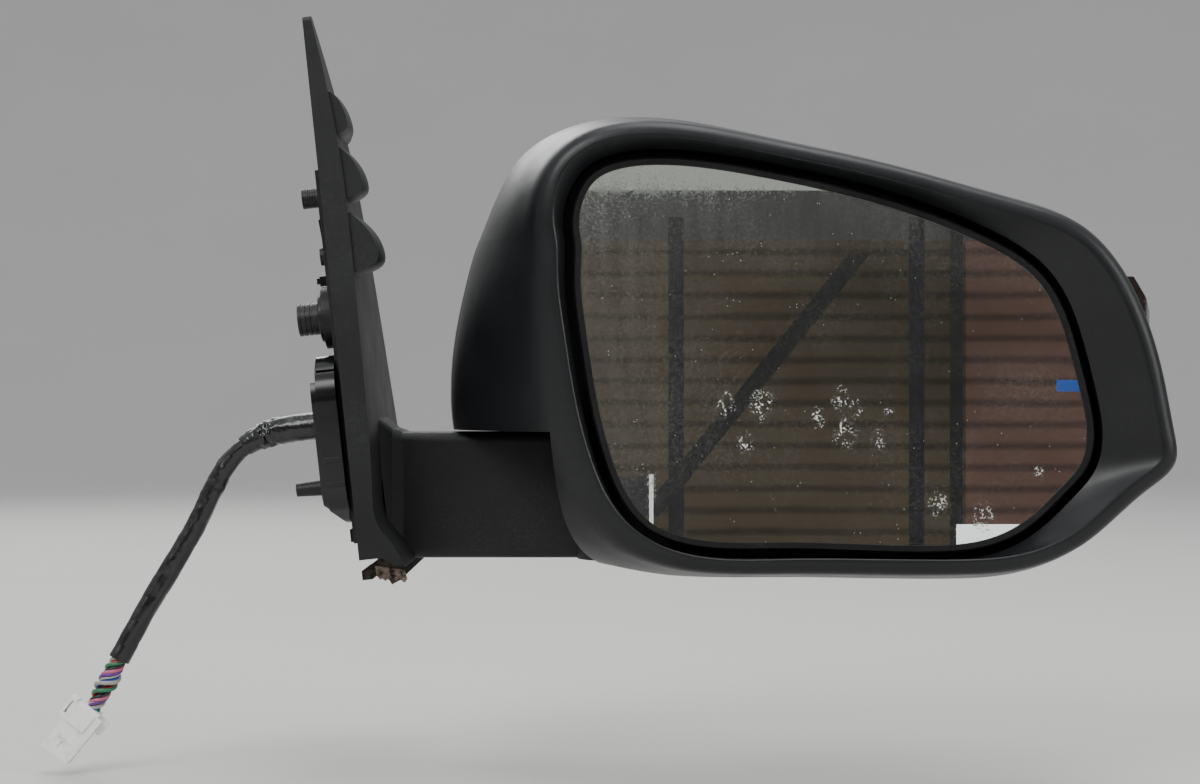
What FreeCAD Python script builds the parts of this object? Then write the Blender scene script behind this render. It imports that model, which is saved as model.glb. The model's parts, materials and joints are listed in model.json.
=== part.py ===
"""A power-folding door mirror for a car or pickup, right-hand side, as fitted.

Units are millimetres. +X points outboard, +Y to the front of the vehicle and +Z up. The glass faces -Y.
The origin is on the mounting face of the base bracket, on the axis of the main threaded insert.
Every function that ends in a save() call makes one separate piece, written to parts/NAME.step.
"""

import FreeCAD
import Part
import math
import os

from FreeCAD import Vector

X_AXIS = Vector(1, 0, 0)
Y_AXIS = Vector(0, 1, 0)
Z_AXIS = Vector(0, 0, 1)

# Outlines seen from behind, as (x, z). Point i of one belongs to point i of the other.
RIM_OUTLINE = [
    (89.0, 30), (90.4, 50), (95.3, 59.2), (108, 68.3), (130, 72), (174, 65.8), (224.5, 54.7),
    (267.2, 42.6), (293.5, 32.5), (306, 20), (316.5, 0.5), (323.5, -22), (328, -45), (328.6, -56),
    (318, -66.5), (296, -85.5), (276, -95.2), (245, -98.6), (182, -98.3), (141, -95.8), (122.5, -87.2),
    (111, -74.8), (103.5, -59), (96.5, -33), (91.7, -3), (89.9, 13),
]
GLASS_OUTLINE = [
    (103.7, 29.5), (105.8, 45.5), (109.7, 50.9), (118.8, 55.1), (134.1, 56.6), (171.8, 52.1), (218.6, 41.2),
    (257.4, 26.4), (277.7, 12.6), (283.8, 3.4), (290, -13.9), (294.6, -32.2), (296.6, -48.6), (294.5, -56.9),
    (288, -65), (269.6, -81.3), (257.4, -86.3), (236.9, -88.4), (179.8, -87.1), (145.1, -85.5),
    (130.3, -79.4), (121.5, -69), (115, -53.1), (109.3, -29.1), (105.3, -2.7), (103.8, 14),
]

# Head: depth of its parts along Y, and how its shell swells, flares inboard and closes at the nose.
Y_RIM = -63.0
HEAD_DEPTH = 115.0
DEPTH_TAPER = 0.19
TAPER_FROM_X = 120.0
HEAD_CENTRE = (185.0, -14.0)
SHELL_BULGE = 5.0
CORNER_BULGE = 4.0
CORNER_START_Z = 54.0
CORNER_RISE = 14.0
FLARE_MIDDLE = 33.0
FLARE_SLOPE_UP = 0.35
FLARE_SLOPE_DOWN = 0.27
FLARE_END_X = 195.0
FLARE_START_X = 90.0
FLARE_FULL = 0.56
NOSE_START = 0.52
NOSE_POWER = 2.3
WALL = 2.6
SEAM = 0.48
SEAM_GAP = 0.006

# Fold joint: its vertical axis, the hub round it and the pocket in the head that swings round the hub.
FOLD_X = 124.0
FOLD_Y = -6.0
HUB_R = 24.0
HUB_TAPER = 2.0
HUB_CLEARANCE = 1.2
POCKET_TOP = -45.1
POCKET_ANGLES = (78.0, 238.0)
POCKET_WALL = 1.8

# Arm between the base and the hub.
ARM_TOP = -46.0
ARM_BOTTOM = -96.5
ARM_REAR_Y = -8.0
ARM_WALL = 2.8
ARM_START_X = 12.0

# Base, in its own frame: x is the distance from the mounting face. It leans with the side window.
LEAN = 6.0
SAIL_REAR_Y = -55.0
SAIL_INNER = 9.5
SAIL_WALL = 2.5
PLATE_X = (4.0, 8.0)
PLATE_REAR_Y = -17.0
PLATE_TOP = 58.0
PAD_R = 12.5
UPPER_STUD_Y = -8.0
UPPER_STUD_Z = 47.8
LOWER_PIN_Z = -68.0
SLEEVE_R, SLEEVE_REACH = 6.5, 10.4
STUD_R, STUD_REACH = 4.0, 2.9
PIN_FOOT_R = 7.0
DRUM_FACE = -6.0
DRUM_STEP_Z = -26.0
EXIT_Z = -42.9

# The base's face as (x, z), its three air ridges as (top, bottom, reach), and the drum as (y, z, radius).
OUTER_PROFILE = [
    (12.6, 113), (15.7, 89), (18.2, 62), (19.0, 30), (18.9, 0), (18.5, -30), (17.3, -68), (18.4, -84),
    (23.0, -91.2), (25.8, -97.5), (27.7, -104.3),
]
FINS = [(82.5, 66.5, 4.6), (62.5, 41.5, 8.4), (38.0, 13.0, 12.0)]
DRUM = [(-24, -74, 12), (-27, -22, 17), (-12, -15.5, 18), (18, -15.5, 17), (31, -32, 16), (30, -72, 14),
        (10, -83, 14), (-10, -83, 12)]

# Glass unit. The glass tilts about PIVOT, and each jack pushes it JACK_ARM away from there.
GLASS_Y = -55.0
GLASS_THICKNESS = 2.0
FILM_THICKNESS = 0.4
HOLDER_FRONT_Y = -55.6
HOLDER_BACK_Y = -50.2
HOLDER_LIP = 3.0
APERTURE_GAP = 6.2
PIVOT = Vector(200, -43, -14)
JACK_ARM = 30.0
JACK_BALL_R = 4.4
JACK_R = 3.3
EAR_IN = 11.6
EAR_OUT = 15.0
RING_R = 11.0
PIN_R = 1.5
WORM_R = 2.4
WORM_OFFSET = 9.0 + WORM_R + 0.3
MOTOR_R = 7.0
CASE_OUTLINE = [(167, -45, 6), (167, 31, 8), (213, 31, 10), (247, 8, 10), (247, -45, 6)]
CASE_INNER = [(169, -43, 4), (169, 29, 6), (212.4, 29, 8), (245, 7, 8), (245, -43, 4)]
CASE_FRONT_Y = -36.0
CASE_SPLIT_Y = -20.0
CASE_REAR_Y = -4.0
FRAME_Y = (-2.0, 1.5)

# Fold drive round the post.
POST_R = 9.0
POST_BORE_R = 5.5
POST_TOP = 21.0
RUNNING = 0.05
TUBE_R = 14.0
TUBE_TOP = -6.0
RING_FLOOR = -54.0
RING_SPLIT = -43.5
RING_TOP = -38.0
DETENT_R = 16.5
SUN_R = 15.0
PINION_R = 6.6
GEAR_GAP = 0.35
TOOTH = 1.2

# Harness: its route outside the door panel, its thickness and its connector.
ROUTE = [
    (-1.5, 0.0, -43.3), (-12.9, 0.4, -44.5), (-24.4, 1.2, -46.9), (-34.4, 2.2, -52.6), (-42.2, 3.0, -62.4),
    (-49.7, 3.3, -78.6), (-62.3, 2.6, -101.2), (-74.8, 1.4, -121.7), (-84.0, 0.6, -139.6),
    (-93.4, 0.0, -157.4),
]
CABLE_D = 8.0
CONNECTOR = (13.0, 9.0, 24.0)
LATCH_END = 9.8

os.makedirs("parts", exist_ok=True)


def save(name, shape):
    """Writes one piece, after leaving out anything that isn't a solid."""
    solids = shape.Solids
    if not solids:
        raise RuntimeError(name + " has no solid")
    whole = solids[0] if len(solids) == 1 else Part.makeCompound(solids)
    if not whole.isValid():
        print("NOT VALID", name)
    whole.exportStep("parts/" + name + ".step")
    limits = whole.BoundBox
    print("%-24s solids %d  volume %8.1f  x %.1f..%.1f y %.1f..%.1f z %.1f..%.1f" % (
        name, len(solids), whole.Volume, limits.XMin, limits.XMax, limits.YMin, limits.YMax, limits.ZMin,
        limits.ZMax))


def box(x0, x1, y0, y1, z0, z1):
    return Part.makeBox(x1 - x0, y1 - y0, z1 - z0, Vector(x0, y0, z0))


def rod(start, axis, radius, length):
    return Part.makeCylinder(radius, length, Vector(*start), axis)


def pipe(start, axis, outer, inner, length):
    return rod(start, axis, outer, length).cut(rod(start, axis, inner, length))


def rounded(corners, place):
    """A closed wire of straight edges and arcs through corners (a, b, radius); place makes (a, b) a point."""
    count = len(corners)
    starts = []
    ends = []
    middles = []
    for i, (a, b, radius) in enumerate(corners):
        here = Vector(a, b, 0)
        before = Vector(corners[i - 1][0], corners[i - 1][1], 0) - here
        after = Vector(corners[(i + 1) % count][0], corners[(i + 1) % count][1], 0) - here
        before.normalize()
        after.normalize()
        half = before.getAngle(after) / 2
        reach = radius / math.tan(half)
        centre_way = before + after
        centre_way.normalize()
        centre = here + centre_way * (radius / math.sin(half))
        starts.append(here + before * reach)
        ends.append(here + after * reach)
        middles.append(centre - centre_way * radius)
    edges = []
    for i in range(count):
        if corners[i][2] > 0:
            arc = [place(p.x, p.y) for p in (starts[i], middles[i], ends[i])]
            edges.append(Part.Arc(*arc).toShape())
        leave = place(ends[i].x, ends[i].y)
        arrive = place(starts[(i + 1) % count].x, starts[(i + 1) % count].y)
        if leave.distanceToPoint(arrive) > 1e-6:
            edges.append(Part.LineSegment(leave, arrive).toShape())
    return Part.Wire(edges)


def extrude(wire, way):
    return Part.Face(wire).extrude(way)


def slab(corners, y0, y1):
    """A plate in the XZ plane from y0 to y1."""
    return extrude(rounded(corners, lambda a, b: Vector(a, y0, b)), Vector(0, y1 - y0, 0))


def plan(corners, z0, z1):
    """A plate in the XY plane from z0 to z1."""
    return extrude(rounded(corners, lambda a, b: Vector(a, b, z0)), Vector(0, 0, z1 - z0))


def leaned(shape):
    """The base's own frame, where x is the distance from the mounting face, turned to how it stands."""
    shape.rotate(Vector(0, 0, 0), Y_AXIS, -LEAN)
    return shape


def lean_point(x, y, z):
    angle = math.radians(LEAN)
    return Vector(x * math.cos(angle) - z * math.sin(angle), y, x * math.sin(angle) + z * math.cos(angle))


def fillet(shape, radius, wanted):
    """Rounds the edges that wanted() picks; an edge set that can't take the radius is tried edge by edge."""
    edges = [e for e in shape.Edges if wanted(e)]
    try:
        made = shape.makeFillet(radius, edges)
        if made.isValid() and made.Volume > 0:
            return made
    except Exception:
        print("fillet of", len(edges), "edges left out")
    return shape


# ---------------------------------------------------------------- outlines and the head's loft


def chord_parameters(outline):
    """Curve parameters from the distances between points, so that every section of a loft agrees."""
    total = [0.0]
    for i in range(len(outline)):
        a = outline[i]
        b = outline[(i + 1) % len(outline)]
        total.append(total[-1] + math.hypot(b[0] - a[0], b[1] - a[1]))
    return [t / total[-1] for t in total]


def grown(outline, distance):
    """The outline with each point moved outward; the points run clockwise as seen from behind."""
    moved = []
    count = len(outline)
    for i, (x, z) in enumerate(outline):
        ax, az = outline[i - 1]
        bx, bz = outline[(i + 1) % count]
        length = math.hypot(bx - ax, bz - az)
        normal = (-(bz - az) / length, (bx - ax) / length)
        moved.append((x + normal[0] * distance, z + normal[1] * distance))
    return moved


def loop(points, parameters):
    curve = Part.BSplineCurve()
    curve.interpolate(Points=points, PeriodicFlag=True, Parameters=parameters)
    return Part.Wire(curve.toShape())


def flat_loop(outline, y):
    return loop([Vector(x, y, z) for x, z in outline], chord_parameters(outline))


def flat_loft(levels, ruled=True):
    """A solid through (outline, y) levels."""
    return Part.makeLoft([flat_loop(outline, y) for outline, y in levels], True, ruled)


def nose_scale(u):
    if u <= NOSE_START:
        return 1.0
    v = (u - NOSE_START) / (1 - NOSE_START)
    return (1 - v ** NOSE_POWER) ** (1 / NOSE_POWER)


def flared_outline(u):
    """The rim's outline as it is at share u of the head's depth, before the nose closes."""
    swell = math.sin(math.pi / 2 * min(1.0, u / NOSE_START))
    along = 1 - (1 - min(1.0, u / FLARE_FULL)) ** 1.8
    flared = []
    plain = grown(RIM_OUTLINE, SHELL_BULGE * swell)
    full = grown(RIM_OUTLINE, (SHELL_BULGE + CORNER_BULGE) * swell)
    for (x, z), (fx, fz) in zip(plain, full):
        share = max(0.0, min(1.0, (FLARE_END_X - x) / (FLARE_END_X - FLARE_START_X)))
        high = max(0.0, min(1.0, (z - CORNER_START_Z) / CORNER_RISE))
        corner = share * high * high * (3 - 2 * high)
        slope = FLARE_SLOPE_UP if z > 0 else FLARE_SLOPE_DOWN
        flare = (FLARE_MIDDLE - slope * z) * along * share ** 1.5
        flared.append((x + (fx - x) * corner - flare, z + (fz - z) * corner))
    return flared


HEAD_PARAMETERS = chord_parameters(flared_outline(0.15))


def head_section(u, inset=0.0):
    """One section of the head's shell at share u of its depth, drawn in by inset."""
    scale = nose_scale(u)
    points = []
    for x, z in grown(flared_outline(u), -inset):
        cx, cz = HEAD_CENTRE
        px = cx + (x - cx) * scale
        pz = cz + (z - cz) * scale
        depth = HEAD_DEPTH - DEPTH_TAPER * (px - TAPER_FROM_X)
        points.append(Vector(px, Y_RIM + u * depth - 1.3 * inset * u * u, pz))
    return loop(points, HEAD_PARAMETERS)


SHARES = [0.035, 0.09, 0.16, 0.24, 0.32, 0.4, 0.48, 0.56, 0.65, 0.74, 0.82, 0.89, 0.94, 0.975]
NOSE_SHARES = [0.992, 0.9985]
INNER_END = 0.985


def head_form():
    """The whole head's outer form; the first three sections round the rim's edge."""
    sections = [head_section(0.0, 4.2), head_section(0.009, 1.6)]
    sections += [head_section(u) for u in SHARES + NOSE_SHARES]
    return Part.makeLoft(sections, True, False)


def inset_form(inset):
    """The same form drawn in by inset, and flattened at the nose to match, for hollows and for skins."""
    shares = [u for u in SHARES if u < INNER_END - 0.015 - 0.006 * max(0.0, inset)]
    shares.append(INNER_END - 0.006 * max(0.0, inset))
    return Part.makeLoft([head_section(u, inset) for u in shares], True, False)


def behind_seam(u):
    """Everything in the head to the rear of the plane at share u of its depth."""
    points = []
    for x in (0.0, 400.0):
        points.append(Vector(x, Y_RIM + u * (HEAD_DEPTH - DEPTH_TAPER * (x - TAPER_FROM_X)), -150))
    points += [Vector(400, -90, -150), Vector(0, -90, -150)]
    return Part.Face(Part.makePolygon(points + [points[0]])).extrude(Vector(0, 0, 300))


def between_seams(low, high):
    return behind_seam(high).cut(behind_seam(low))


def pocket(extra):
    """The space that the arm and hub sweep through in the head, grown by extra."""
    top = POCKET_TOP + extra
    reach = 130.0
    bottom = -125.0
    hub = rod((FOLD_X, FOLD_Y, bottom), Z_AXIS, HUB_R + HUB_CLEARANCE + extra, top - bottom)
    low, high = [math.radians(a) for a in POCKET_ANGLES]
    side_low = Vector(math.sin(low), -math.cos(low), 0) * extra
    side_high = Vector(-math.sin(high), math.cos(high), 0) * extra
    centre = Vector(FOLD_X, FOLD_Y, bottom)
    corners = [centre + side_low]
    steps = 5
    for i in range(steps):
        angle = low + (high - low) * i / (steps - 1)
        corner = centre + Vector(math.cos(angle), math.sin(angle), 0) * reach
        if i == 0:
            corner = corner + side_low
        if i == steps - 1:
            corner = corner + side_high
        corners.append(corner)
    corners.append(centre + side_high)
    wedge = Part.Face(Part.makePolygon(corners + [corners[0]])).extrude(Vector(0, 0, top - bottom))
    return hub.fuse(wedge)


def post_hole():
    return rod((FOLD_X, FOLD_Y, POCKET_TOP - 5), Z_AXIS, DETENT_R + 0.8, 12)


def pillar_places():
    """Where pillars join the housing's inner wall to the frame, as (x, z)."""
    ring = grown(GLASS_OUTLINE, 9.6)
    return [ring[0], ring[5], ring[7]]


def rear_housing():
    outer = head_form().common(behind_seam(SEAM))
    cavity = inset_form(WALL).common(behind_seam(SEAM + 0.02))
    crest = grown(RIM_OUTLINE, -5.4)
    aperture = grown(GLASS_OUTLINE, APERTURE_GAP)
    wall_crest = grown(RIM_OUTLINE, -3.4)
    wall_aperture = grown(GLASS_OUTLINE, APERTURE_GAP + 2.2)
    funnel = flat_loft([(grown(RIM_OUTLINE, -4.0), Y_RIM - 1.5), (crest, Y_RIM + 0.5),
                        (aperture, Y_RIM + 9.0), (aperture, Y_RIM + 26.0)])
    funnel_wall = flat_loft([(wall_crest, Y_RIM - 1.0), (wall_crest, Y_RIM + 3.0),
                             (wall_aperture, Y_RIM + 11.4), (wall_aperture, Y_RIM + 24.0)])
    cavity = cavity.cut(funnel_wall).cut(pocket(POCKET_WALL))
    for x, z in pillar_places():
        cavity = cavity.cut(rod((x, Y_RIM + 20, z), Y_AXIS, 3.6, FRAME_Y[0] - Y_RIM - 20))
    housing = outer.cut(cavity).cut(funnel).cut(pocket(0.0)).cut(post_hole())
    for x, z in pillar_places():
        housing = housing.cut(rod((x, FRAME_Y[0] - 14, z), Y_AXIS, 1.4, 16))
    return housing


def signal_window(gap):
    """The box in the cap that the turn signal fills, grown by gap."""
    return box(240 - gap, 340, -21.5 - gap, 60, -7 - gap, 16 + gap)


def front_cap():
    outer = head_form().cut(behind_seam(SEAM + SEAM_GAP))
    cavity = inset_form(WALL).cut(pocket(POCKET_WALL))
    lip = inset_form(WALL + 0.15).common(between_seams(SEAM - 0.03, SEAM + 0.03))
    lip = lip.fuse(inset_form(WALL - 0.1).common(between_seams(SEAM + 2 * SEAM_GAP, SEAM + 0.03)))
    lip = lip.cut(inset_form(WALL + 1.9).common(between_seams(SEAM - 0.04, SEAM + 0.04)))
    lip = lip.cut(pocket(POCKET_WALL + 0.3))
    for x, z in pillar_places():
        lip = lip.cut(rod((x, Y_RIM + 20, z), Y_AXIS, 4.2, 80))
    cap = outer.cut(cavity).fuse(lip).cut(pocket(0.0)).cut(post_hole())
    return cap.cut(signal_window(0.3))


def signal_lens():
    """The lens follows the cap's face and swells to a wedge whose rear face shows from behind."""
    lens = inset_form(-0.6).cut(inset_form(1.2)).common(signal_window(0.0))
    wedge = plan([(298, 6, 0), (330.5, -12.5, 1.5), (327, -21.5, 1.5), (298, -21.5, 0)], -8, 17)
    face = slab([(298, 15.8, 0), (322, 15.8, 1), (330.5, 1.5, 1), (329.5, -5.5, 1), (298, -6.8, 0)], -22, 8)
    return lens.fuse(wedge.common(face).cut(inset_form(1.2)))


def signal_housing():
    """A tray behind the lens for the lamp board."""
    room = box(240, 330, -19, 35, -9.5, 18.5)
    tray = inset_form(WALL + 0.3).cut(inset_form(11.0)).common(room)
    hollow = inset_form(1.0).cut(inset_form(9.0)).common(box(243, 330, -26, 35, -6, 15))
    return tray.cut(hollow)


def signal_board():
    """The lamp board that stands in the tray, along the lens."""
    return plan([(260, 10.3, 0), (294, -2.5, 0), (294.6, -1.1, 0), (260.6, 11.7, 0)], -3, 12)


def inner_frame():
    """A plate across the head with the bearing tube of the fold joint and the seat of the fold motor."""
    plate = flat_loft([(grown(GLASS_OUTLINE, 17.0), FRAME_Y[0]), (grown(GLASS_OUTLINE, 17.0), FRAME_Y[1])])
    plate = plate.common(inset_form(WALL + 2.6)).cut(pocket(POCKET_WALL + 0.8))
    plate = plate.cut(slab([(150, -72, 6), (150, -50, 6), (235, -50, 6), (235, -72, 6)], -5, 5))
    plate = plate.cut(slab([(108, 18, 5), (108, 50, 5), (158, 46, 5), (158, 18, 5)], -5, 5))
    plate = plate.cut(slab([(176, -38, 5), (176, 22, 5), (236, 12, 5), (236, -38, 5)], -5, 5))
    tube = rod((FOLD_X, FOLD_Y, RING_TOP), Z_AXIS, TUBE_R, TUBE_TOP - RING_TOP)
    motor_x = FOLD_X + SUN_R + PINION_R + GEAR_GAP
    seat = rod((motor_x, FOLD_Y, -26), Z_AXIS, 9.6, 30)
    ledge = rod((FOLD_X, FOLD_Y, 5), Z_AXIS, SUN_R + 3.2, 5.4)
    ledge = ledge.fuse(rod((motor_x, FOLD_Y, 5), Z_AXIS, PINION_R + 3.6, 5.4))
    frame = plate.cut(rod((FOLD_X, FOLD_Y, POCKET_TOP), Z_AXIS, DETENT_R + 0.5, RING_TOP - POCKET_TOP))
    frame = frame.fuse(tube).fuse(seat).fuse(ledge)
    frame = frame.cut(rod((FOLD_X, FOLD_Y, RING_TOP - 1), Z_AXIS, POST_R + 1.8, 80))
    frame = frame.cut(rod((FOLD_X, FOLD_Y, TUBE_TOP), Z_AXIS, DETENT_R - 1.5, 40))
    frame = frame.cut(rod((FOLD_X, FOLD_Y, 10.4), Z_AXIS, SUN_R + 3.6, 40))
    frame = frame.cut(rod((motor_x, FOLD_Y, -24), Z_AXIS, 8.0, 40))
    frame = frame.cut(rod((motor_x, FOLD_Y, 10.4), Z_AXIS, PINION_R + 4.0, 40))
    frame = frame.cut(rod((motor_x, FOLD_Y, -30), Z_AXIS, 2.2, 40))
    frame = frame.cut(box(236, 340, -10, 10, -12, 21))
    for x, z in case_screw_places():
        frame = frame.cut(rod((x, -5, z), Y_AXIS, 1.5, 10))
    for x, z in pillar_places():
        frame = frame.cut(rod((x, -5, z), Y_AXIS, 1.8, 10))
    return frame


def screw(place, way, head_r, head_h, shank_r, length):
    """A pan-head screw: place is under its head, and way points from the head to the tip."""
    tip = Vector(*place) + way * length
    shank = Part.makeCylinder(shank_r, length - shank_r, Vector(*place), way)
    point = Part.makeCone(shank_r, 0.3, shank_r, tip - way * shank_r, way)
    head = Part.makeCylinder(head_r, head_h, Vector(*place) - way * head_h, way)
    slot = Part.makeCylinder(head_r * 0.42, head_h * 0.6, Vector(*place) - way * head_h, way)
    return head.cut(slot).fuse(shank).fuse(point)


def frame_screws():
    way = Vector(0, -1, 0)
    return Part.makeCompound([screw((x, FRAME_Y[1], z), way, 2.7, 1.8, 1.4, 15) for x, z in pillar_places()])


# ---------------------------------------------------------------- fold joint


def toothed(centre, axis_z0, axis_z1, radius, teeth):
    """A spur gear blank with teeth of height TOOTH cut to radius, round a vertical axis."""
    points = []
    for i in range(teeth):
        for share, r in ((0.0, radius), (0.28, radius), (0.5, radius - TOOTH), (0.78, radius - TOOTH)):
            angle = 2 * math.pi * (i + share) / teeth
            points.append(Vector(centre[0] + r * math.cos(angle), centre[1] + r * math.sin(angle), axis_z0))
    return Part.Face(Part.makePolygon(points + [points[0]])).extrude(Vector(0, 0, axis_z1 - axis_z0))


def on_post(z0, z1, outer, inner):
    return pipe((FOLD_X, FOLD_Y, z0), Z_AXIS, outer, inner, z1 - z0)


def pivot_post():
    post = on_post(-58, POST_TOP, POST_R, POST_BORE_R)
    flange = on_post(-58, RING_FLOOR, 17.0, POST_BORE_R)
    groove = on_post(12.0, 13.4, POST_R + 1, POST_R - 1.2)
    holes = [rod((x, y, -60), Z_AXIS, 1.7, 10) for x, y in post_screw_places()]
    post = post.fuse(flange).cut(groove)
    for hole in holes:
        post = post.cut(hole)
    return post


def post_screw_places():
    places = []
    for angle in (30, 150, 270):
        places.append((FOLD_X + 13.2 * math.cos(math.radians(angle)),
                       FOLD_Y + 13.2 * math.sin(math.radians(angle))))
    return places


def post_screws():
    way = Vector(0, 0, -1)
    screws = [screw((x, y, RING_FLOOR), way, 2.6, 1.6, 1.65, 16) for x, y in post_screw_places()]
    return Part.makeCompound(screws)


def detent_grooves(z):
    """Four shallow grooves across a detent ring's face."""
    cuts = []
    for i in range(4):
        angle = 20 + i * 90
        cut = box(POST_R, DETENT_R + 2, -1.6, 1.6, -0.7, 0.7)
        cut.rotate(Vector(0, 0, 0), Z_AXIS, angle)
        cut.translate(Vector(FOLD_X, FOLD_Y, z))
        cuts.append(cut)
    return cuts


def fixed_detent_ring():
    ring = on_post(RING_FLOOR + 1.8, RING_SPLIT - 0.15, DETENT_R, POST_R)
    for cut in detent_grooves(RING_SPLIT - 0.15):
        ring = ring.cut(cut)
    return ring


def moving_detent_ring():
    ring = on_post(RING_SPLIT + 0.15, RING_TOP, DETENT_R, POST_R + 0.3)
    for cut in detent_grooves(RING_SPLIT + 0.15):
        ring = ring.cut(cut)
    return ring


def pivot_bush():
    return on_post(RING_TOP + 0.4, TUBE_TOP, POST_R + 1.8, POST_R + RUNNING)


def fold_spring():
    """A compression spring between two flat washers on the post."""
    wire_r = 1.4
    low = TUBE_TOP + 1.9 + wire_r
    height = 9.0 - wire_r - low
    helix = Part.makeHelix(height / 3.5, height, POST_R + 2.6)
    profile = Part.Wire(Part.makeCircle(wire_r, Vector(POST_R + 2.6, 0, 0), Y_AXIS))
    coil = Part.Wire(helix).makePipeShell([profile], True, True)
    coil.translate(Vector(FOLD_X, FOLD_Y, low))
    return coil


def spring_washers():
    return Part.makeCompound([on_post(TUBE_TOP + 0.3, TUBE_TOP + 1.8, 13.6, POST_R),
                              on_post(9.1, 11.9, 13.6, POST_R)])


def circlip():
    clip = on_post(12.1, 13.3, POST_R + 2.2, POST_R - 1.2)
    return clip.cut(box(FOLD_X - 3, FOLD_X + 3, FOLD_Y, FOLD_Y + 20, 11, 15))


def post_gear():
    gear = toothed((FOLD_X, FOLD_Y), 14.0, 19.5, SUN_R, 30)
    return gear.cut(rod((FOLD_X, FOLD_Y, 10), Z_AXIS, POST_R, 20))


def motor_place():
    return (FOLD_X + SUN_R + PINION_R + GEAR_GAP, FOLD_Y)


def fold_pinion():
    x, y = motor_place()
    gear = toothed((x, y), 14.0, 19.5, PINION_R, 13)
    return gear.fuse(rod((x, y, 9.6), Z_AXIS, 1.6, 11))


def fold_motor():
    x, y = motor_place()
    can = rod((x, y, -24), Z_AXIS, 8.0, 31)
    nose = rod((x, y, 7), Z_AXIS, 3.2, 2.2)
    bore = rod((x, y, 3), Z_AXIS, 1.6 + RUNNING, 10)
    end = rod((x, y, -26), Z_AXIS, 2.0, 2.2)
    return can.fuse(nose).fuse(end).cut(bore)


def fold_cover():
    """A cap over the fold gears, screwed to the frame."""
    x, y = motor_place()
    over = rod((FOLD_X, FOLD_Y, 10.5), Z_AXIS, SUN_R + 3.2, 13.5)
    over = over.fuse(rod((x, y, 10.5), Z_AXIS, PINION_R + 3.6, 13.5))
    inside = rod((FOLD_X, FOLD_Y, 9), Z_AXIS, SUN_R + 1.4, 13)
    inside = inside.fuse(rod((x, y, 9), Z_AXIS, PINION_R + 1.6, 13))
    return over.cut(inside).cut(rod((FOLD_X, FOLD_Y, 20), Z_AXIS, POST_R + 0.6, 10))


# ---------------------------------------------------------------- glass and its actuator


def mirror_glass():
    return flat_loft([(GLASS_OUTLINE, GLASS_Y), (GLASS_OUTLINE, GLASS_Y + GLASS_THICKNESS)])


def heater_film():
    outline = grown(GLASS_OUTLINE, -5.0)
    back = GLASS_Y + GLASS_THICKNESS
    return flat_loft([(outline, back), (outline, back + FILM_THICKNESS)])


def jack_places():
    """The two jacks as (x, z): beside the pivot for left and right, above it for up and down."""
    return {"h": (PIVOT.x + JACK_ARM, PIVOT.z), "v": (PIVOT.x, PIVOT.z + JACK_ARM)}


def glass_holder():
    back = GLASS_Y + GLASS_THICKNESS
    tray = flat_loft([(grown(GLASS_OUTLINE, HOLDER_LIP - 0.8), HOLDER_FRONT_Y),
                      (grown(GLASS_OUTLINE, HOLDER_LIP), HOLDER_FRONT_Y + 1.0),
                      (grown(GLASS_OUTLINE, HOLDER_LIP), HOLDER_BACK_Y)])
    tray = tray.cut(flat_loft([(GLASS_OUTLINE, HOLDER_FRONT_Y - 1), (GLASS_OUTLINE, back)]))
    tray = tray.cut(flat_loft([(grown(GLASS_OUTLINE, -5.0), back - 0.2),
                               (grown(GLASS_OUTLINE, -5.0), back + FILM_THICKNESS)]))
    for z0, z1 in ((EAR_IN, EAR_OUT), (-EAR_OUT, -EAR_IN)):
        ear = box(PIVOT.x - 4, PIVOT.x + 4, HOLDER_BACK_Y - 0.5, PIVOT.y + 3.2, PIVOT.z + z0, PIVOT.z + z1)
        tray = tray.fuse(ear)
    for x, z in jack_places().values():
        cup = pipe((x, HOLDER_BACK_Y - 0.5, z), Y_AXIS, 6.6, JACK_BALL_R + 0.5, 9.2)
        tray = tray.fuse(cup)
    return tray.cut(rod((PIVOT.x, PIVOT.y, PIVOT.z - 20), Z_AXIS, PIN_R, 40))


def heater_terminals():
    blades = []
    for x in (244, 254):
        blades.append(box(x, x + 0.8, HOLDER_BACK_Y, HOLDER_BACK_Y + 7, -58, -52))
    return Part.makeCompound(blades)


def gimbal_ring():
    start = (PIVOT.x, PIVOT.y - 2.6, PIVOT.z)
    ring = pipe(start, Y_AXIS, RING_R, 7.4, 5.2)
    ring = ring.cut(rod((PIVOT.x - 20, PIVOT.y, PIVOT.z), X_AXIS, PIN_R + RUNNING, 40))
    return ring.cut(rod((PIVOT.x, PIVOT.y, PIVOT.z - 20), Z_AXIS, PIN_R + RUNNING, 40))


def gimbal_pins(axis):
    """Two short pins that stick into the ring from the ears outside it."""
    pins = []
    for way in (1, -1):
        start = PIVOT + axis * (8.2 * way)
        pins.append(Part.makeCylinder(PIN_R, EAR_OUT - 8.2, start, axis * way))
    return Part.makeCompound(pins)


def jack(name):
    x, z = jack_places()[name]
    ball = Part.makeSphere(JACK_BALL_R, Vector(x, PIVOT.y, z))
    rod_body = rod((x, PIVOT.y, z), Y_AXIS, JACK_R, 31)
    return ball.fuse(rod_body)


def jack_gear(name):
    """The wheel whose threaded bore drives a jack, round an axis along Y."""
    x, z = jack_places()[name]
    gear = toothed((0, 0), 0, 6, 9.0, 26)
    gear = gear.cut(rod((0, 0, -1), Z_AXIS, JACK_R + RUNNING, 8))
    gear.rotate(Vector(0, 0, 0), X_AXIS, -90)
    gear.translate(Vector(x, -28, z))
    return gear


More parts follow.
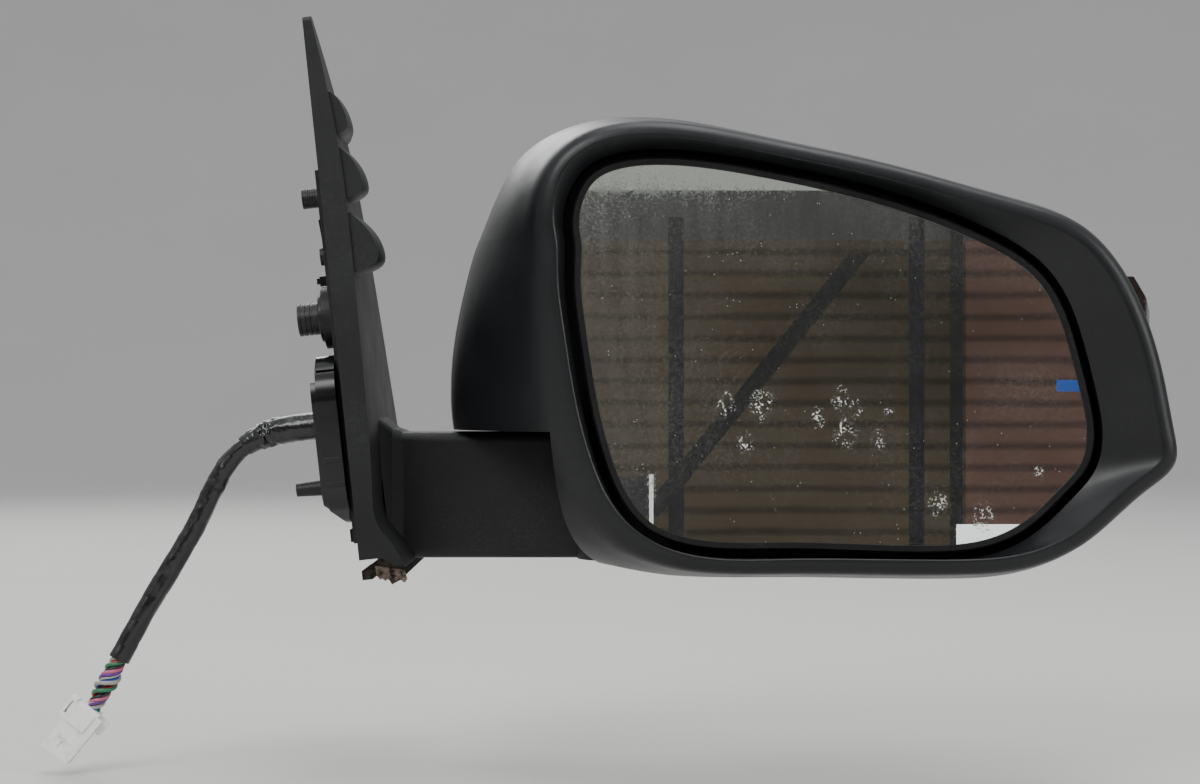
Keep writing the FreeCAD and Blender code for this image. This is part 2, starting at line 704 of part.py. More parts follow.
def worm_place(name):
    """A point on a worm's axis beside its gear, and the way from the worm to its motor."""
    x, z = jack_places()[name]
    if name == "h":
        return Vector(x - WORM_OFFSET, -25, z), Vector(0, 0, -1)
    return Vector(x, -25, z - WORM_OFFSET), Vector(-1, 0, 0)


def worm(name):
    place, way = worm_place(name)
    core = Part.makeCylinder(1.3, 18.6, place - way * 9, way)
    threads = [Part.makeCylinder(WORM_R, 0.9, place - way * (7.0 - 1.8 * i), way) for i in range(8)]
    for thread in threads:
        core = core.fuse(thread)
    return core


def tilt_motor(name):
    place, way = worm_place(name)
    can = Part.makeCylinder(MOTOR_R, 16.5, place + way * 10, way)
    bore = Part.makeCylinder(1.3 + RUNNING, 2.6, place + way * 9, way)
    cheek = Part.makeBox(40, 2 * 5.4, 40, Vector(-20, -5.4, -20))
    cheek.translate(place + way * 20)
    return can.common(cheek).cut(bore)


def case_screw_places():
    return [(173.5, -38.5), (173.5, 24.5), (240.5, -38.5), (236, 6)]


def case_front():
    case = slab(CASE_OUTLINE, CASE_FRONT_Y, CASE_SPLIT_Y)
    case = case.cut(slab(CASE_INNER, CASE_FRONT_Y + 2, CASE_SPLIT_Y + 1))
    for x0, x1 in ((EAR_IN, EAR_OUT), (-EAR_OUT, -EAR_IN)):
        ear = box(PIVOT.x + x0, PIVOT.x + x1, PIVOT.y - 3.2, CASE_FRONT_Y + 0.5, PIVOT.z - 4, PIVOT.z + 4)
        case = case.fuse(ear)
    for x, z in case_screw_places():
        case = case.fuse(rod((x, CASE_FRONT_Y + 1, z), Y_AXIS, 3.6, CASE_SPLIT_Y - CASE_FRONT_Y - 1))
    for x, z in jack_places().values():
        case = case.cut(rod((x, CASE_FRONT_Y - 1, z), Y_AXIS, JACK_R + RUNNING, 6))
    case = case.cut(rod((PIVOT.x - 20, PIVOT.y, PIVOT.z), X_AXIS, PIN_R, 40))
    for x, z in case_screw_places():
        case = case.cut(rod((x, CASE_SPLIT_Y - 11, z), Y_AXIS, 1.3, 20))
    return case


def case_rear():
    case = slab(CASE_OUTLINE, CASE_SPLIT_Y, CASE_REAR_Y)
    case = case.cut(slab(CASE_INNER, CASE_SPLIT_Y - 1, CASE_REAR_Y - 2))
    for x, z in case_screw_places():
        case = case.fuse(rod((x, CASE_SPLIT_Y, z), Y_AXIS, 3.6, CASE_REAR_Y - CASE_SPLIT_Y))
        case = case.fuse(rod((x, CASE_REAR_Y - 1, z), Y_AXIS, 4.4, FRAME_Y[0] - CASE_REAR_Y + 1))
    for x, z in case_screw_places():
        case = case.cut(rod((x, CASE_SPLIT_Y - 1, z), Y_AXIS, 1.7, 40))
    return case


def case_screws():
    way = Vector(0, -1, 0)
    place_y = FRAME_Y[1]
    screws = [screw((x, place_y, z), way, 3.0, 1.8, 1.3, 31) for x, z in case_screw_places()]
    return Part.makeCompound(screws)


# ---------------------------------------------------------------- base


def side(corners, x0, x1):
    """A plate in the YZ plane from x0 to x1. corners are (y, z, radius)."""
    return extrude(rounded(corners, lambda a, b: Vector(x0, a, b)), Vector(x1 - x0, 0, 0))


def sail_corners(i):
    """The outline of the base from the side, drawn in by i: a triangle whose top and nose are cut short."""
    width = max(4.0, 7.0 - 0.5 * i)
    top = 122.1 - 1.3034 * width - 2.946 * i
    rear = SAIL_REAR_Y + i
    return [(rear, -100 + i, 4), (rear, top, width * 0.3), (rear + width, top, width * 0.3),
            (97 - 1.25 * i, -76 + 0.1 * i, max(2.0, 10 - 0.6 * i)),
            (91 - i, -100 + i, max(1.5, 5 - 0.3 * i))]


def profile_slab(dx, low, lip, y0, y1):
    """The base's cross-section, closed along x = SAIL_INNER, from y0 to y1."""
    points = [Vector(x + dx, y0, z) for x, z in OUTER_PROFILE if z > low]
    curve = Part.BSplineCurve()
    curve.interpolate(Points=points)
    edges = [curve.toShape()]
    inner_x = SAIL_INNER if lip else SAIL_INNER - 4
    if lip:
        rest = [points[-1], Vector(24.3, y0, -105.2), Vector(21.6, y0, -98.5), Vector(18.5, y0, -95.6),
                Vector(inner_x, y0, -95.6), Vector(inner_x, y0, 113), points[0]]
    else:
        rest = [points[-1], Vector(inner_x, y0, points[-1].z), Vector(inner_x, y0, 113), points[0]]
    for a, b in zip(rest, rest[1:]):
        edges.append(Part.LineSegment(a, b).toShape())
    return Part.Face(Part.Wire(edges)).extrude(Vector(0, y1 - y0, 0))


def fin(top, bottom, reach):
    """One of the small ridges that calm the air: it swells from the base's face and fades forward."""
    sections = []
    for y, scale in ((-53.5, 0.86), (-46, 1.0), (-34, 0.92), (-20, 0.62), (-8, 0.25)):
        height = (top - bottom) * (0.6 + 0.4 * scale)
        foot = 15.0
        out = 18.2 + reach * scale
        middle = (top + bottom) / 2
        high = middle + height / 2
        low = middle - height / 2
        points = [(foot, high + 2), (18.4, high), (18.4 + (out - 18.4) * 0.62, high - height * 0.26),
                  (out, high - height * 0.62), (out - 0.1, low + height * 0.18), (18.6, low),
                  (foot, low - 1)]
        curve = Part.BSplineCurve()
        curve.interpolate(Points=[Vector(x, y, z) for x, z in points])
        first = curve.toShape()
        last = Part.LineSegment(Vector(foot, y, low - 1), Vector(foot, y, high + 2)).toShape()
        sections.append(Part.Wire([first, last]))
    return Part.makeLoft(sections, True, False)


def arm_plan(inset):
    """The arm seen from above, as a face outline in (x, y)."""
    i = inset
    return [(ARM_START_X - 8, ARM_REAR_Y + i), (FOLD_X, ARM_REAR_Y + i), (FOLD_X, FOLD_Y + HUB_R - 3 - i),
            (74, 21.5 - i), (ARM_START_X - 8, 33 - i)]


def arm_block(inset, radius):
    points = [Vector(x, y, ARM_BOTTOM + inset) for x, y in arm_plan(inset)]
    face = Part.Face(Part.makePolygon(points + [points[0]]))
    block = face.extrude(Vector(0, 0, ARM_TOP - ARM_BOTTOM - 2 * inset))
    if radius:
        def long_edge(edge):
            limits = edge.BoundBox
            return limits.XLength > 20 and limits.ZLength < 0.01

        block = fillet(block, radius, long_edge)
    return block


def hub(inset):
    low = ARM_BOTTOM + inset
    high = ARM_TOP - inset
    return Part.makeCone(HUB_R - HUB_TAPER - inset, HUB_R - inset, high - low, Vector(FOLD_X, FOLD_Y, low))


def arm_collar():
    """Where the arm's end spreads onto the base's face."""
    sections = []
    for x, spread in ((21, 7.0), (25.5, 3.6), (28.0, 1.6), (33, -0.2)):
        y0 = ARM_REAR_Y - spread
        y1 = 33 - 0.16 * (x - 4) + spread
        corners = [(y0, ARM_BOTTOM - spread * 0.4, 5), (y0, ARM_TOP + spread, 5), (y1, ARM_TOP + spread, 5),
                   (y1, ARM_BOTTOM - spread * 0.4, 5)]
        sections.append(rounded(corners, lambda a, b, x=x: Vector(x, a, b)))
    return Part.makeLoft(sections, True, True)


def cover_screw_places():
    """Where the cover is screwed to the bracket, as (y, z) in the base's own frame."""
    return [(-11, 24), (30, -10), (66, -76)]


def base_cover():
    sail = side(sail_corners(0), SAIL_INNER, 29).common(profile_slab(0, -200, True, -60, 100))
    for top, bottom, reach in FINS:
        sail = sail.fuse(fin(top, bottom, reach))
    cavity = side(sail_corners(SAIL_WALL), 4, 29).common(profile_slab(-SAIL_WALL, -88, False, -60, 100))
    sail = sail.cut(cavity)
    for y, z in cover_screw_places():
        sail = sail.fuse(pipe((PLATE_X[1], y, z), X_AXIS, 4.2, 1.4, 8.7))
    sail = leaned(sail)
    arm = arm_block(0, 4.0).fuse(hub(0)).fuse(arm_collar())
    behind = leaned(box(-20, 17.5, -100, 120, -140, 140))
    arm = arm.cut(behind)
    space = arm_block(ARM_WALL, 0).fuse(hub(ARM_WALL))
    cover = sail.fuse(arm).cut(space)
    return cover.cut(rod((FOLD_X, FOLD_Y, ARM_TOP - 5), Z_AXIS, DETENT_R + 0.8, 10))


def base_bracket():
    """The cast plate behind the cover, with the locating pin and the beam that carries the fold joint."""
    plate = side(sail_corners(9), *PLATE_X).cut(box(-20, 20, -60, PLATE_REAR_Y, -120, 120))
    plate = plate.cut(box(-20, 20, -60, 120, PLATE_TOP, 120))
    plate = plate.cut(side([(14, -62, 6), (14, -8, 6), (46, -48, 6)], 0, 10))
    plate = plate.fuse(rod((0, 0, 0), X_AXIS, PAD_R, PLATE_X[0] + 1))
    foot_length = PLATE_X[0] + 2 - DRUM_FACE
    plate = plate.fuse(rod((DRUM_FACE - 0.5, 0, LOWER_PIN_Z), X_AXIS, PIN_FOOT_R, foot_length))
    pin = Part.makeCone(2.7, 3.4, 12.0, Vector(DRUM_FACE - 12.5, 0, LOWER_PIN_Z), X_AXIS)
    plate = plate.fuse(pin)
    plate = plate.cut(rod((-6, UPPER_STUD_Y, UPPER_STUD_Z), X_AXIS, STUD_R - 0.5, 20))
    plate = plate.cut(rod((-6, 0, 0), X_AXIS, SLEEVE_R - 0.3, 20))
    plate = plate.cut(Part.makeCone(SLEEVE_R + 0.3, SLEEVE_R - 0.3, 0.6, Vector(0, 0, 0), X_AXIS))
    plate = plate.cut(rod((-6, 0, EXIT_Z), X_AXIS, 7.0, 20))
    for y, z in cover_screw_places():
        plate = plate.cut(rod((0, y, z), X_AXIS, 1.9, 20))
    plate = leaned(plate)
    beam = box(10.5, FOLD_X, -3, 11, -90, -53)
    beam = beam.cut(box(24, FOLD_X - 24, -5, 2.5, -84, -59)).cut(box(24, FOLD_X - 24, 5.5, 13, -84, -59))
    seat = rod((FOLD_X, FOLD_Y, -90), Z_AXIS, 18.5, 32).cut(rod((FOLD_X, FOLD_Y, -84), Z_AXIS, 10.5, 40))
    beam = beam.cut(rod((FOLD_X, FOLD_Y, -90), Z_AXIS, 18.5, 60)).fuse(seat)
    beam = beam.cut(leaned(box(-40, PLATE_X[1] - 0.5, -100, 120, -140, 140)))
    beam = beam.cut(wire_channel())
    bracket = plate.fuse(beam)
    for x, y in post_screw_places():
        bracket = bracket.cut(rod((x, y, -74), Z_AXIS, 1.65, 20))
    return bracket


def ringed(body, first, count, pitch, outer, inner, width, y, z):
    """Cuts a row of shallow grooves round a rod along x, which stand for its thread."""
    for i in range(count):
        body = body.cut(pipe((first + i * pitch, y, z), X_AXIS, outer, inner, width))
    return body


def upper_stud():
    """A headed stud through the bracket; its free end takes a nut inside the door."""
    y = UPPER_STUD_Y
    face, back = PLATE_X
    stud = rod((-STUD_REACH, y, UPPER_STUD_Z), X_AXIS, STUD_R, STUD_REACH + face)
    stud = ringed(stud, -STUD_REACH + 0.5, 6, 0.95, STUD_R + 1, STUD_R - 0.35, 0.4, y, UPPER_STUD_Z)
    shank = rod((face, y, UPPER_STUD_Z), X_AXIS, STUD_R - 0.5, back - face)
    head = rod((back, y, UPPER_STUD_Z), X_AXIS, 5.2, 2.6)
    return leaned(stud.fuse(shank).fuse(head))


def main_sleeve():
    """The threaded steel sleeve that the main bolt goes into from inside the door."""
    body = rod((-SLEEVE_REACH, 0, 0), X_AXIS, SLEEVE_R, SLEEVE_REACH)
    body = ringed(body, -SLEEVE_REACH + 1.2, 3, 2.0, SLEEVE_R + 1.5, SLEEVE_R - 0.35, 0.7, 0, 0)
    body = body.fuse(rod((0, 0, 0), X_AXIS, SLEEVE_R - 0.3, PLATE_X[1]))
    return leaned(body.cut(rod((-12, 0, 0), X_AXIS, 3.3, 16)))


def plate_clip():
    clip = box(-0.8, PLATE_X[0], 3, 13, 13, 17).fuse(box(-2.2, -0.8, 5, 11, 14, 16.4))
    return leaned(clip)


def cover_screws():
    return leaned(Part.makeCompound([screw((PLATE_X[0], y, z), X_AXIS, 3.6, 1.8, 1.4, 10.8)
                                     for y, z in cover_screw_places()]))


def drawn_in(corners, i):
    cy = sum(c[0] for c in corners) / len(corners)
    cz = sum(c[1] for c in corners) / len(corners)
    moved = []
    for y, z, r in corners:
        length = math.hypot(y - cy, z - cz)
        moved.append((y - (y - cy) * i / length, z - (z - cz) * i / length, max(1.0, r - i)))
    return moved


def drum_slope(rise):
    """The space under the drum's sloping lower end, raised by rise."""
    corners = [(-9.0, -71.5 + rise), (7.0, -88.7 + rise), (-9.0, -100.0)]
    points = [Vector(x, -60, z) for x, z in corners]
    return Part.Face(Part.makePolygon(points + [points[0]])).extrude(Vector(0, 120, 0))


def wire_drum():
    """The glossy cup that closes the wire opening and carries the harness out through the door."""
    foot = PLATE_X[0]
    body = side(DRUM, DRUM_FACE + 2.2, foot)
    step = side(drawn_in(DRUM, 2.2), DRUM_FACE, DRUM_FACE + 2.4)
    body = body.fuse(step.cut(box(DRUM_FACE - 1, DRUM_FACE + 2.2, -60, 60, DRUM_STEP_Z, 0)))
    for z in (-20.5, -57, -66.5):
        rib = side(drawn_in(DRUM, -0.9), DRUM_FACE + 2.6, foot)
        body = body.fuse(rib.common(box(-20, 20, -60, 60, z - 0.8, z + 0.8)))
    body = body.cut(drum_slope(0))
    hollow = side(drawn_in(DRUM, 4.2), DRUM_FACE + 2.0, foot + 1).cut(drum_slope(3.2))
    shallow = side(drawn_in(DRUM, 4.2), DRUM_FACE + 4.2, foot + 1).cut(drum_slope(3.2))
    split = box(DRUM_FACE, foot + 2, -60, 60, DRUM_STEP_Z - 2, 0)
    body = body.cut(hollow.cut(split)).cut(shallow)
    body = body.fuse(pipe((DRUM_FACE - 1.6, 0, EXIT_Z), X_AXIS, 7.6, 5.9, 4.0))
    body = body.cut(rod((DRUM_FACE - 4, 0, EXIT_Z), X_AXIS, 5.9, 20))
    body = body.cut(rod((-20, 0, LOWER_PIN_Z), X_AXIS, PIN_FOOT_R, 30))
    return leaned(body)


def mount_gasket():
    """The foam ring on the plate's face."""
    face = PLATE_X[0]
    ring = side(sail_corners(9.5), face - 1.5, face).cut(side(sail_corners(14.5), face - 2, face + 1))
    ring = ring.cut(box(-20, 20, -60, PLATE_REAR_Y + 4, -120, 120))
    ring = ring.cut(box(-20, 20, -60, 120, PLATE_TOP - 1, 120))
    ring = ring.cut(rod((face - 3, UPPER_STUD_Y, UPPER_STUD_Z), X_AXIS, 9, 5))
    ring = ring.cut(rod((face - 3, 0, 0), X_AXIS, PAD_R + 0.5, 5))
    ring = ring.cut(side(drawn_in(DRUM, -2), -1, face + 1)).cut(box(-1, 6, 2, 14, 12, 18))
    for y, z in cover_screw_places():
        ring = ring.cut(rod((face - 3, y, z), X_AXIS, 4.4, 5))
    return leaned(ring)


def belt_seal():
    """The foam strip under the base's outer lip, on the door's belt line."""
    profile = [(SAIL_INNER, -95.8), (18.4, -95.8), (21.4, -98.8), (23.9, -105.0), (20.6, -106.4),
               (18.2, -101.6), (14.0, -101.0), (13.4, -103.6), (SAIL_INNER, -103.6)]
    points = [Vector(x, -50, z) for x, z in profile]
    strip = Part.Face(Part.makePolygon(points + [points[0]])).extrude(Vector(0, 136, 0))
    strip = leaned(strip.cut(side(sail_corners(0), SAIL_INNER - 1, 16)))
    return strip.cut(box(18, 40, ARM_REAR_Y - 5, 36, -98.6, -80))


# ---------------------------------------------------------------- harness


def run_and_arc_path(points):
    """Straight runs joined by tangent arcs, each as large as 0.45 of its shorter run allows."""
    edges = []
    start = points[0]
    radii = []
    for before, here, after in zip(points, points[1:], points[2:]):
        way_in = here - before
        way_out = after - here
        reach = 0.45 * min(way_in.Length, way_out.Length)
        turn = way_in.getAngle(way_out)
        radii.append(reach / math.tan(turn / 2))
        way_in.normalize()
        way_out.normalize()
        arc_start = here - way_in * reach
        arc_end = here + way_out * reach
        inward = way_out - way_in
        inward.normalize()
        offset = radii[-1] / math.cos(turn / 2) - radii[-1]
        middle = here + inward * offset
        edges.append(Part.LineSegment(start, arc_start).toShape())
        edges.append(Part.Arc(arc_start, middle, arc_end).toShape())
        start = arc_end
    edges.append(Part.LineSegment(start, points[-1]).toShape())
    return Part.Wire(edges), radii


def tube(points, radius, name):
    path, radii = run_and_arc_path(points)
    way = points[1] - points[0]
    section = Part.Wire(Part.makeCircle(radius, points[0], way))
    solid = path.makePipeShell([section], True, False)
    print(name, "length %.1f" % path.Length, "arc radii", ["%.0f" % r for r in radii],
          "volume over section times length %.4f" % (solid.Volume / (math.pi * radius ** 2 * path.Length)))
    return solid


def harness_cable():
    return tube([Vector(*p) for p in ROUTE], CABLE_D / 2, "harness_cable")


def harness_boot():
    """The taped boot round the first centimetre of the cable, seated in the drum's collar."""
    start = lean_point(DRUM_FACE - 1.4, 0, EXIT_Z)
    way = lean_point(-1, 0, 0)
    boot = Part.makeCylinder(5.75, 7.0, start, way).fuse(
        Part.makeCone(5.75, 4.6, 2.4, start + way * 7.0, way))
    return boot.cut(Part.makeCylinder(CABLE_D / 2 + 0.02, 30, start - way * 10, way)).cut(harness_cable())


def connector_frame(shape):
    """Puts a shape made along -z from its own origin onto the end of the route."""
    end = Vector(*ROUTE[-1])
    way = Vector(-18.2, 0, -22.2)
    way.normalize()
    angle = math.degrees(math.atan2(-way.x, -way.z))
    shape.rotate(Vector(0, 0, 0), Y_AXIS, angle)
    shape.translate(end)
    return shape


def connector_body():
    """The plug's housing: a block with a raised upper half, an ear on one side and pin holes in its end."""
    width, thick, length = CONNECTOR
    half = width / 2
    front = -thick / 2
    body = box(-half, half, front, thick / 2, -length, -1.5)
    body = body.fuse(box(-4.2, 4.2, -3.4, 3.4, -4.0, 0))
    body = body.fuse(box(-half + 0.8, half - 3.2, front - 0.7, front + 1, -LATCH_END, -1.5))
    body = body.fuse(box(half - 1, half + 2.6, -1.5, 1.5, -6.2, -1.5))
    body = body.fuse(rod((half + 1.4, -1.5, -6.2), Y_AXIS, 1.2, 3.0))
    body = body.fuse(box(-3.2, 3.2, thick / 2 - 1, thick / 2 + 1.2, -length + 1, -12))
    for x in (-4.5, -1.5, 1.5, 4.5):
        for y in (-2.1, 2.1):
            body = body.cut(box(x - 0.9, x + 0.9, y - 1.1, y + 1.1, -length - 1, -length + 4))
    body = body.cut(box(-1.2, 1.2, front - 1, front + 0.5, -20.5, -17.5))
    body = body.cut(box(-3.4, 3.4, front - 1, front + 0.35, -17.2, -16.4))
    return connector_frame(body)


def connector_latch():
    """The lock frame beside the housing's upper half."""
    half = CONNECTOR[0] / 2
    block = box(-half - 2.9, -half, -3.4, 3.4, -LATCH_END, -0.8)
    block = fillet(block, 0.7, lambda edge: edge.BoundBox.XMax < -half - 2.8)
    return connector_frame(block.cut(box(-half - 1.7, -half - 0.7, -5, 5, -LATCH_END + 1.6, -2.4)))


def wire_channel():
    """Room through the bracket for the wires from the drum to the arm."""
    return box(14, 100, -6, 4, -60, -48)


def build():
    save("rear_housing", rear_housing())
    save("front_cap", front_cap())
    save("signal_lens", signal_lens())
    save("signal_housing", signal_housing())
    save("signal_board", signal_board())
    save("inner_frame", inner_frame())
    save("frame_screws", frame_screws())
    save("pivot_post", pivot_post())
    save("post_screws", post_screws())
    save("fixed_detent_ring", fixed_detent_ring())
    save("moving_detent_ring", moving_detent_ring())
    save("pivot_bush", pivot_bush())
    save("fold_spring", fold_spring())
    save("spring_washers", spring_washers())
    save("circlip", circlip())
    save("post_gear", post_gear())
    save("fold_pinion", fold_pinion())
    save("fold_motor", fold_motor())
    save("fold_gear_cover", fold_cover())
    save("mirror_glass", mirror_glass())
    save("heater_film", heater_film())
    save("glass_holder", glass_holder())
    save("heater_terminals", heater_terminals())
    save("gimbal_ring", gimbal_ring())
    save("gimbal_pins_case", gimbal_pins(X_AXIS))
    save("gimbal_pins_holder", gimbal_pins(Z_AXIS))
    for name, words in (("h", "left_right"), ("v", "up_down")):
        save("jack_" + words, jack(name))
        save("jack_gear_" + words, jack_gear(name))
        save("worm_" + words, worm(name))
        save("tilt_motor_" + words, tilt_motor(name))
    save("actuator_case_rear_half", case_rear())
    save("actuator_case_glass_half", case_front())
    save("actuator_screws", case_screws())
    save("base_cover", base_cover())
    save("base_bracket", base_bracket())
    save("upper_stud", upper_stud())
    save("main_sleeve", main_sleeve())
    save("plate_clip", plate_clip())
    save("cover_screws", cover_screws())
    save("wire_drum", wire_drum())
    save("mount_gasket", mount_gasket())
    save("belt_seal", belt_seal())
    save("harness_cable", harness_cable())
    save("harness_boot", harness_boot())
    save("connector_body", connector_body())
    save("connector_latch", connector_latch())


if __name__ == "__main__":
    build()
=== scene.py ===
import json
import math
import random

import bpy
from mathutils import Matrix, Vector, noise


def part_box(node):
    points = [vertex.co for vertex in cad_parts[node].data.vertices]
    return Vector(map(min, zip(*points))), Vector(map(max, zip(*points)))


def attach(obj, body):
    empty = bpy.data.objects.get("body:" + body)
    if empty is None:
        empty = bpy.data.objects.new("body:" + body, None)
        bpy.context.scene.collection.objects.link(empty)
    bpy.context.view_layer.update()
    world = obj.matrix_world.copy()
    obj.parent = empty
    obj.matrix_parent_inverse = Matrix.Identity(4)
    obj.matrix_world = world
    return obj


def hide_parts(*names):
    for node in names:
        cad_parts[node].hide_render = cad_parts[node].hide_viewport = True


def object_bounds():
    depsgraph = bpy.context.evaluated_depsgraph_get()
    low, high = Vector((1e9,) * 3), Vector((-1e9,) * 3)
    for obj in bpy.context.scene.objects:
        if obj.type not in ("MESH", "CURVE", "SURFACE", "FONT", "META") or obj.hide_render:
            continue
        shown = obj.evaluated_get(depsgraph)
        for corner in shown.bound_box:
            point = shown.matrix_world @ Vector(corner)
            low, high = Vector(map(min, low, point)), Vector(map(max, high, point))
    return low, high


# The looks of a powered right-hand door mirror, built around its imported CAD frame. Lengths are in metres.

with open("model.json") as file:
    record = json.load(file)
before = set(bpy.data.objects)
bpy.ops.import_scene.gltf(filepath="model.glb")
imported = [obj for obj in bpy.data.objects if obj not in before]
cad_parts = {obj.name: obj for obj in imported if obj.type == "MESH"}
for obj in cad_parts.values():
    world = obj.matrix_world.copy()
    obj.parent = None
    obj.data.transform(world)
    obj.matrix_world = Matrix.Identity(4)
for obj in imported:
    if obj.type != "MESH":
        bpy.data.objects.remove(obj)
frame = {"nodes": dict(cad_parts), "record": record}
cad_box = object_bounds()

MM = 0.001

# The harness: the route of its centreline from the drum to the connector.
ROUTE = [(-1.5, 0, -43.3), (-12.9, 0.4, -44.5), (-24.4, 1.2, -46.9), (-34.4, 2.2, -52.6),
         (-42.2, 3.0, -62.4), (-49.7, 3.3, -78.6), (-62.3, 2.6, -101.2), (-74.8, 1.4, -121.7),
         (-84.0, 0.6, -139.6), (-93.4, 0, -157.4)]
CABLE_R = 4 * MM
SLEEVE_START = 14 * MM     # where the tape starts, inside the thick taped exit
SLEEVE_END = 133 * MM      # where the tape stops
BOOT_START = -1 * MM       # where the thick taped exit starts, inside the drum
BOOT_TAPER = 15 * MM       # where it begins to narrow
BOOT_KNOT = 22 * MM        # where it is crumpled
BOOT_END = 32.5 * MM       # where it stops
BOOT_R = 5.55 * MM
MOUTH_DEPTH = 6 * MM       # how deep a tape's open end goes
CORE_R = 3.2 * MM
WIRE_R = 0.85 * MM
WIRE_HIDDEN = 8 * MM       # how far the wires run up into the sleeve
WIRE_IN_PLUG = 2.5 * MM
WIRE_OUT = 2.2 * MM        # from the bundle's middle
WIRE_STEPS = 44
WIRE_COLOURS = {"blue": (0.01, 0.06, 0.32), "white": (0.52, 0.50, 0.46), "brown": (0.13, 0.06, 0.03),
                "purple": (0.10, 0.025, 0.19), "pink": (0.46, 0.10, 0.19), "black": (0.012, 0.012, 0.013),
                "green": (0.02, 0.16, 0.07), "red": (0.42, 0.012, 0.02), "grey": (0.30, 0.29, 0.27)}

# The view: level with the glass, looking forward.
CAMERA_AT = (0.1112, -0.955, -0.0299)
CAMERA_LENS = 70.9
CAMERA_SENSOR = 36.0

# The base leans by this much, and its arm has its rear face here, in millimetres.
LEAN = math.radians(6)
ARM_FACE_Y = -8.0

# Dried drops on the glass, each (share across, share up, radius).
WATER_MARKS = [(0.288, 0.370, 4.0 * MM), (0.327, 0.270, 3.4 * MM), (0.362, 0.372, 5.0 * MM),
               (0.515, 0.388, 3.6 * MM), (0.525, 0.296, 4.6 * MM), (0.470, 0.335, 3.4 * MM),
               (0.706, 0.112, 3.6 * MM), (0.797, 0.074, 4.4 * MM), (0.905, 0.19, 2.2 * MM),
               (0.59, 0.28, 3.0 * MM), (0.545, 0.36, 3.0 * MM), (0.61, 0.345, 2.2 * MM)]

# The studio: a round floor that curves up, and glowing panels behind the camera that only reflections see: a
# painted reflection of a workshop wall in the glass.
FLOOR_GAP = 4 * MM
FLOOR_FLAT = 3.2
FLOOR_CURVE = 3.0
FLOOR_AROUND = 96
CARD_Y = -1.35
GLASS_Y = -0.055
RIB_PITCH = 19.875 * MM
# The colour of the dark posts and braces in the painted reflection.
CARD_DARK = (0.004, 0.004, 0.004)


# ---------------------------------------------------------------- finishes

WAVE_STRETCH = 3.2    # a wave texture of scale s has stripes about 1 / (3.2 * s) apart


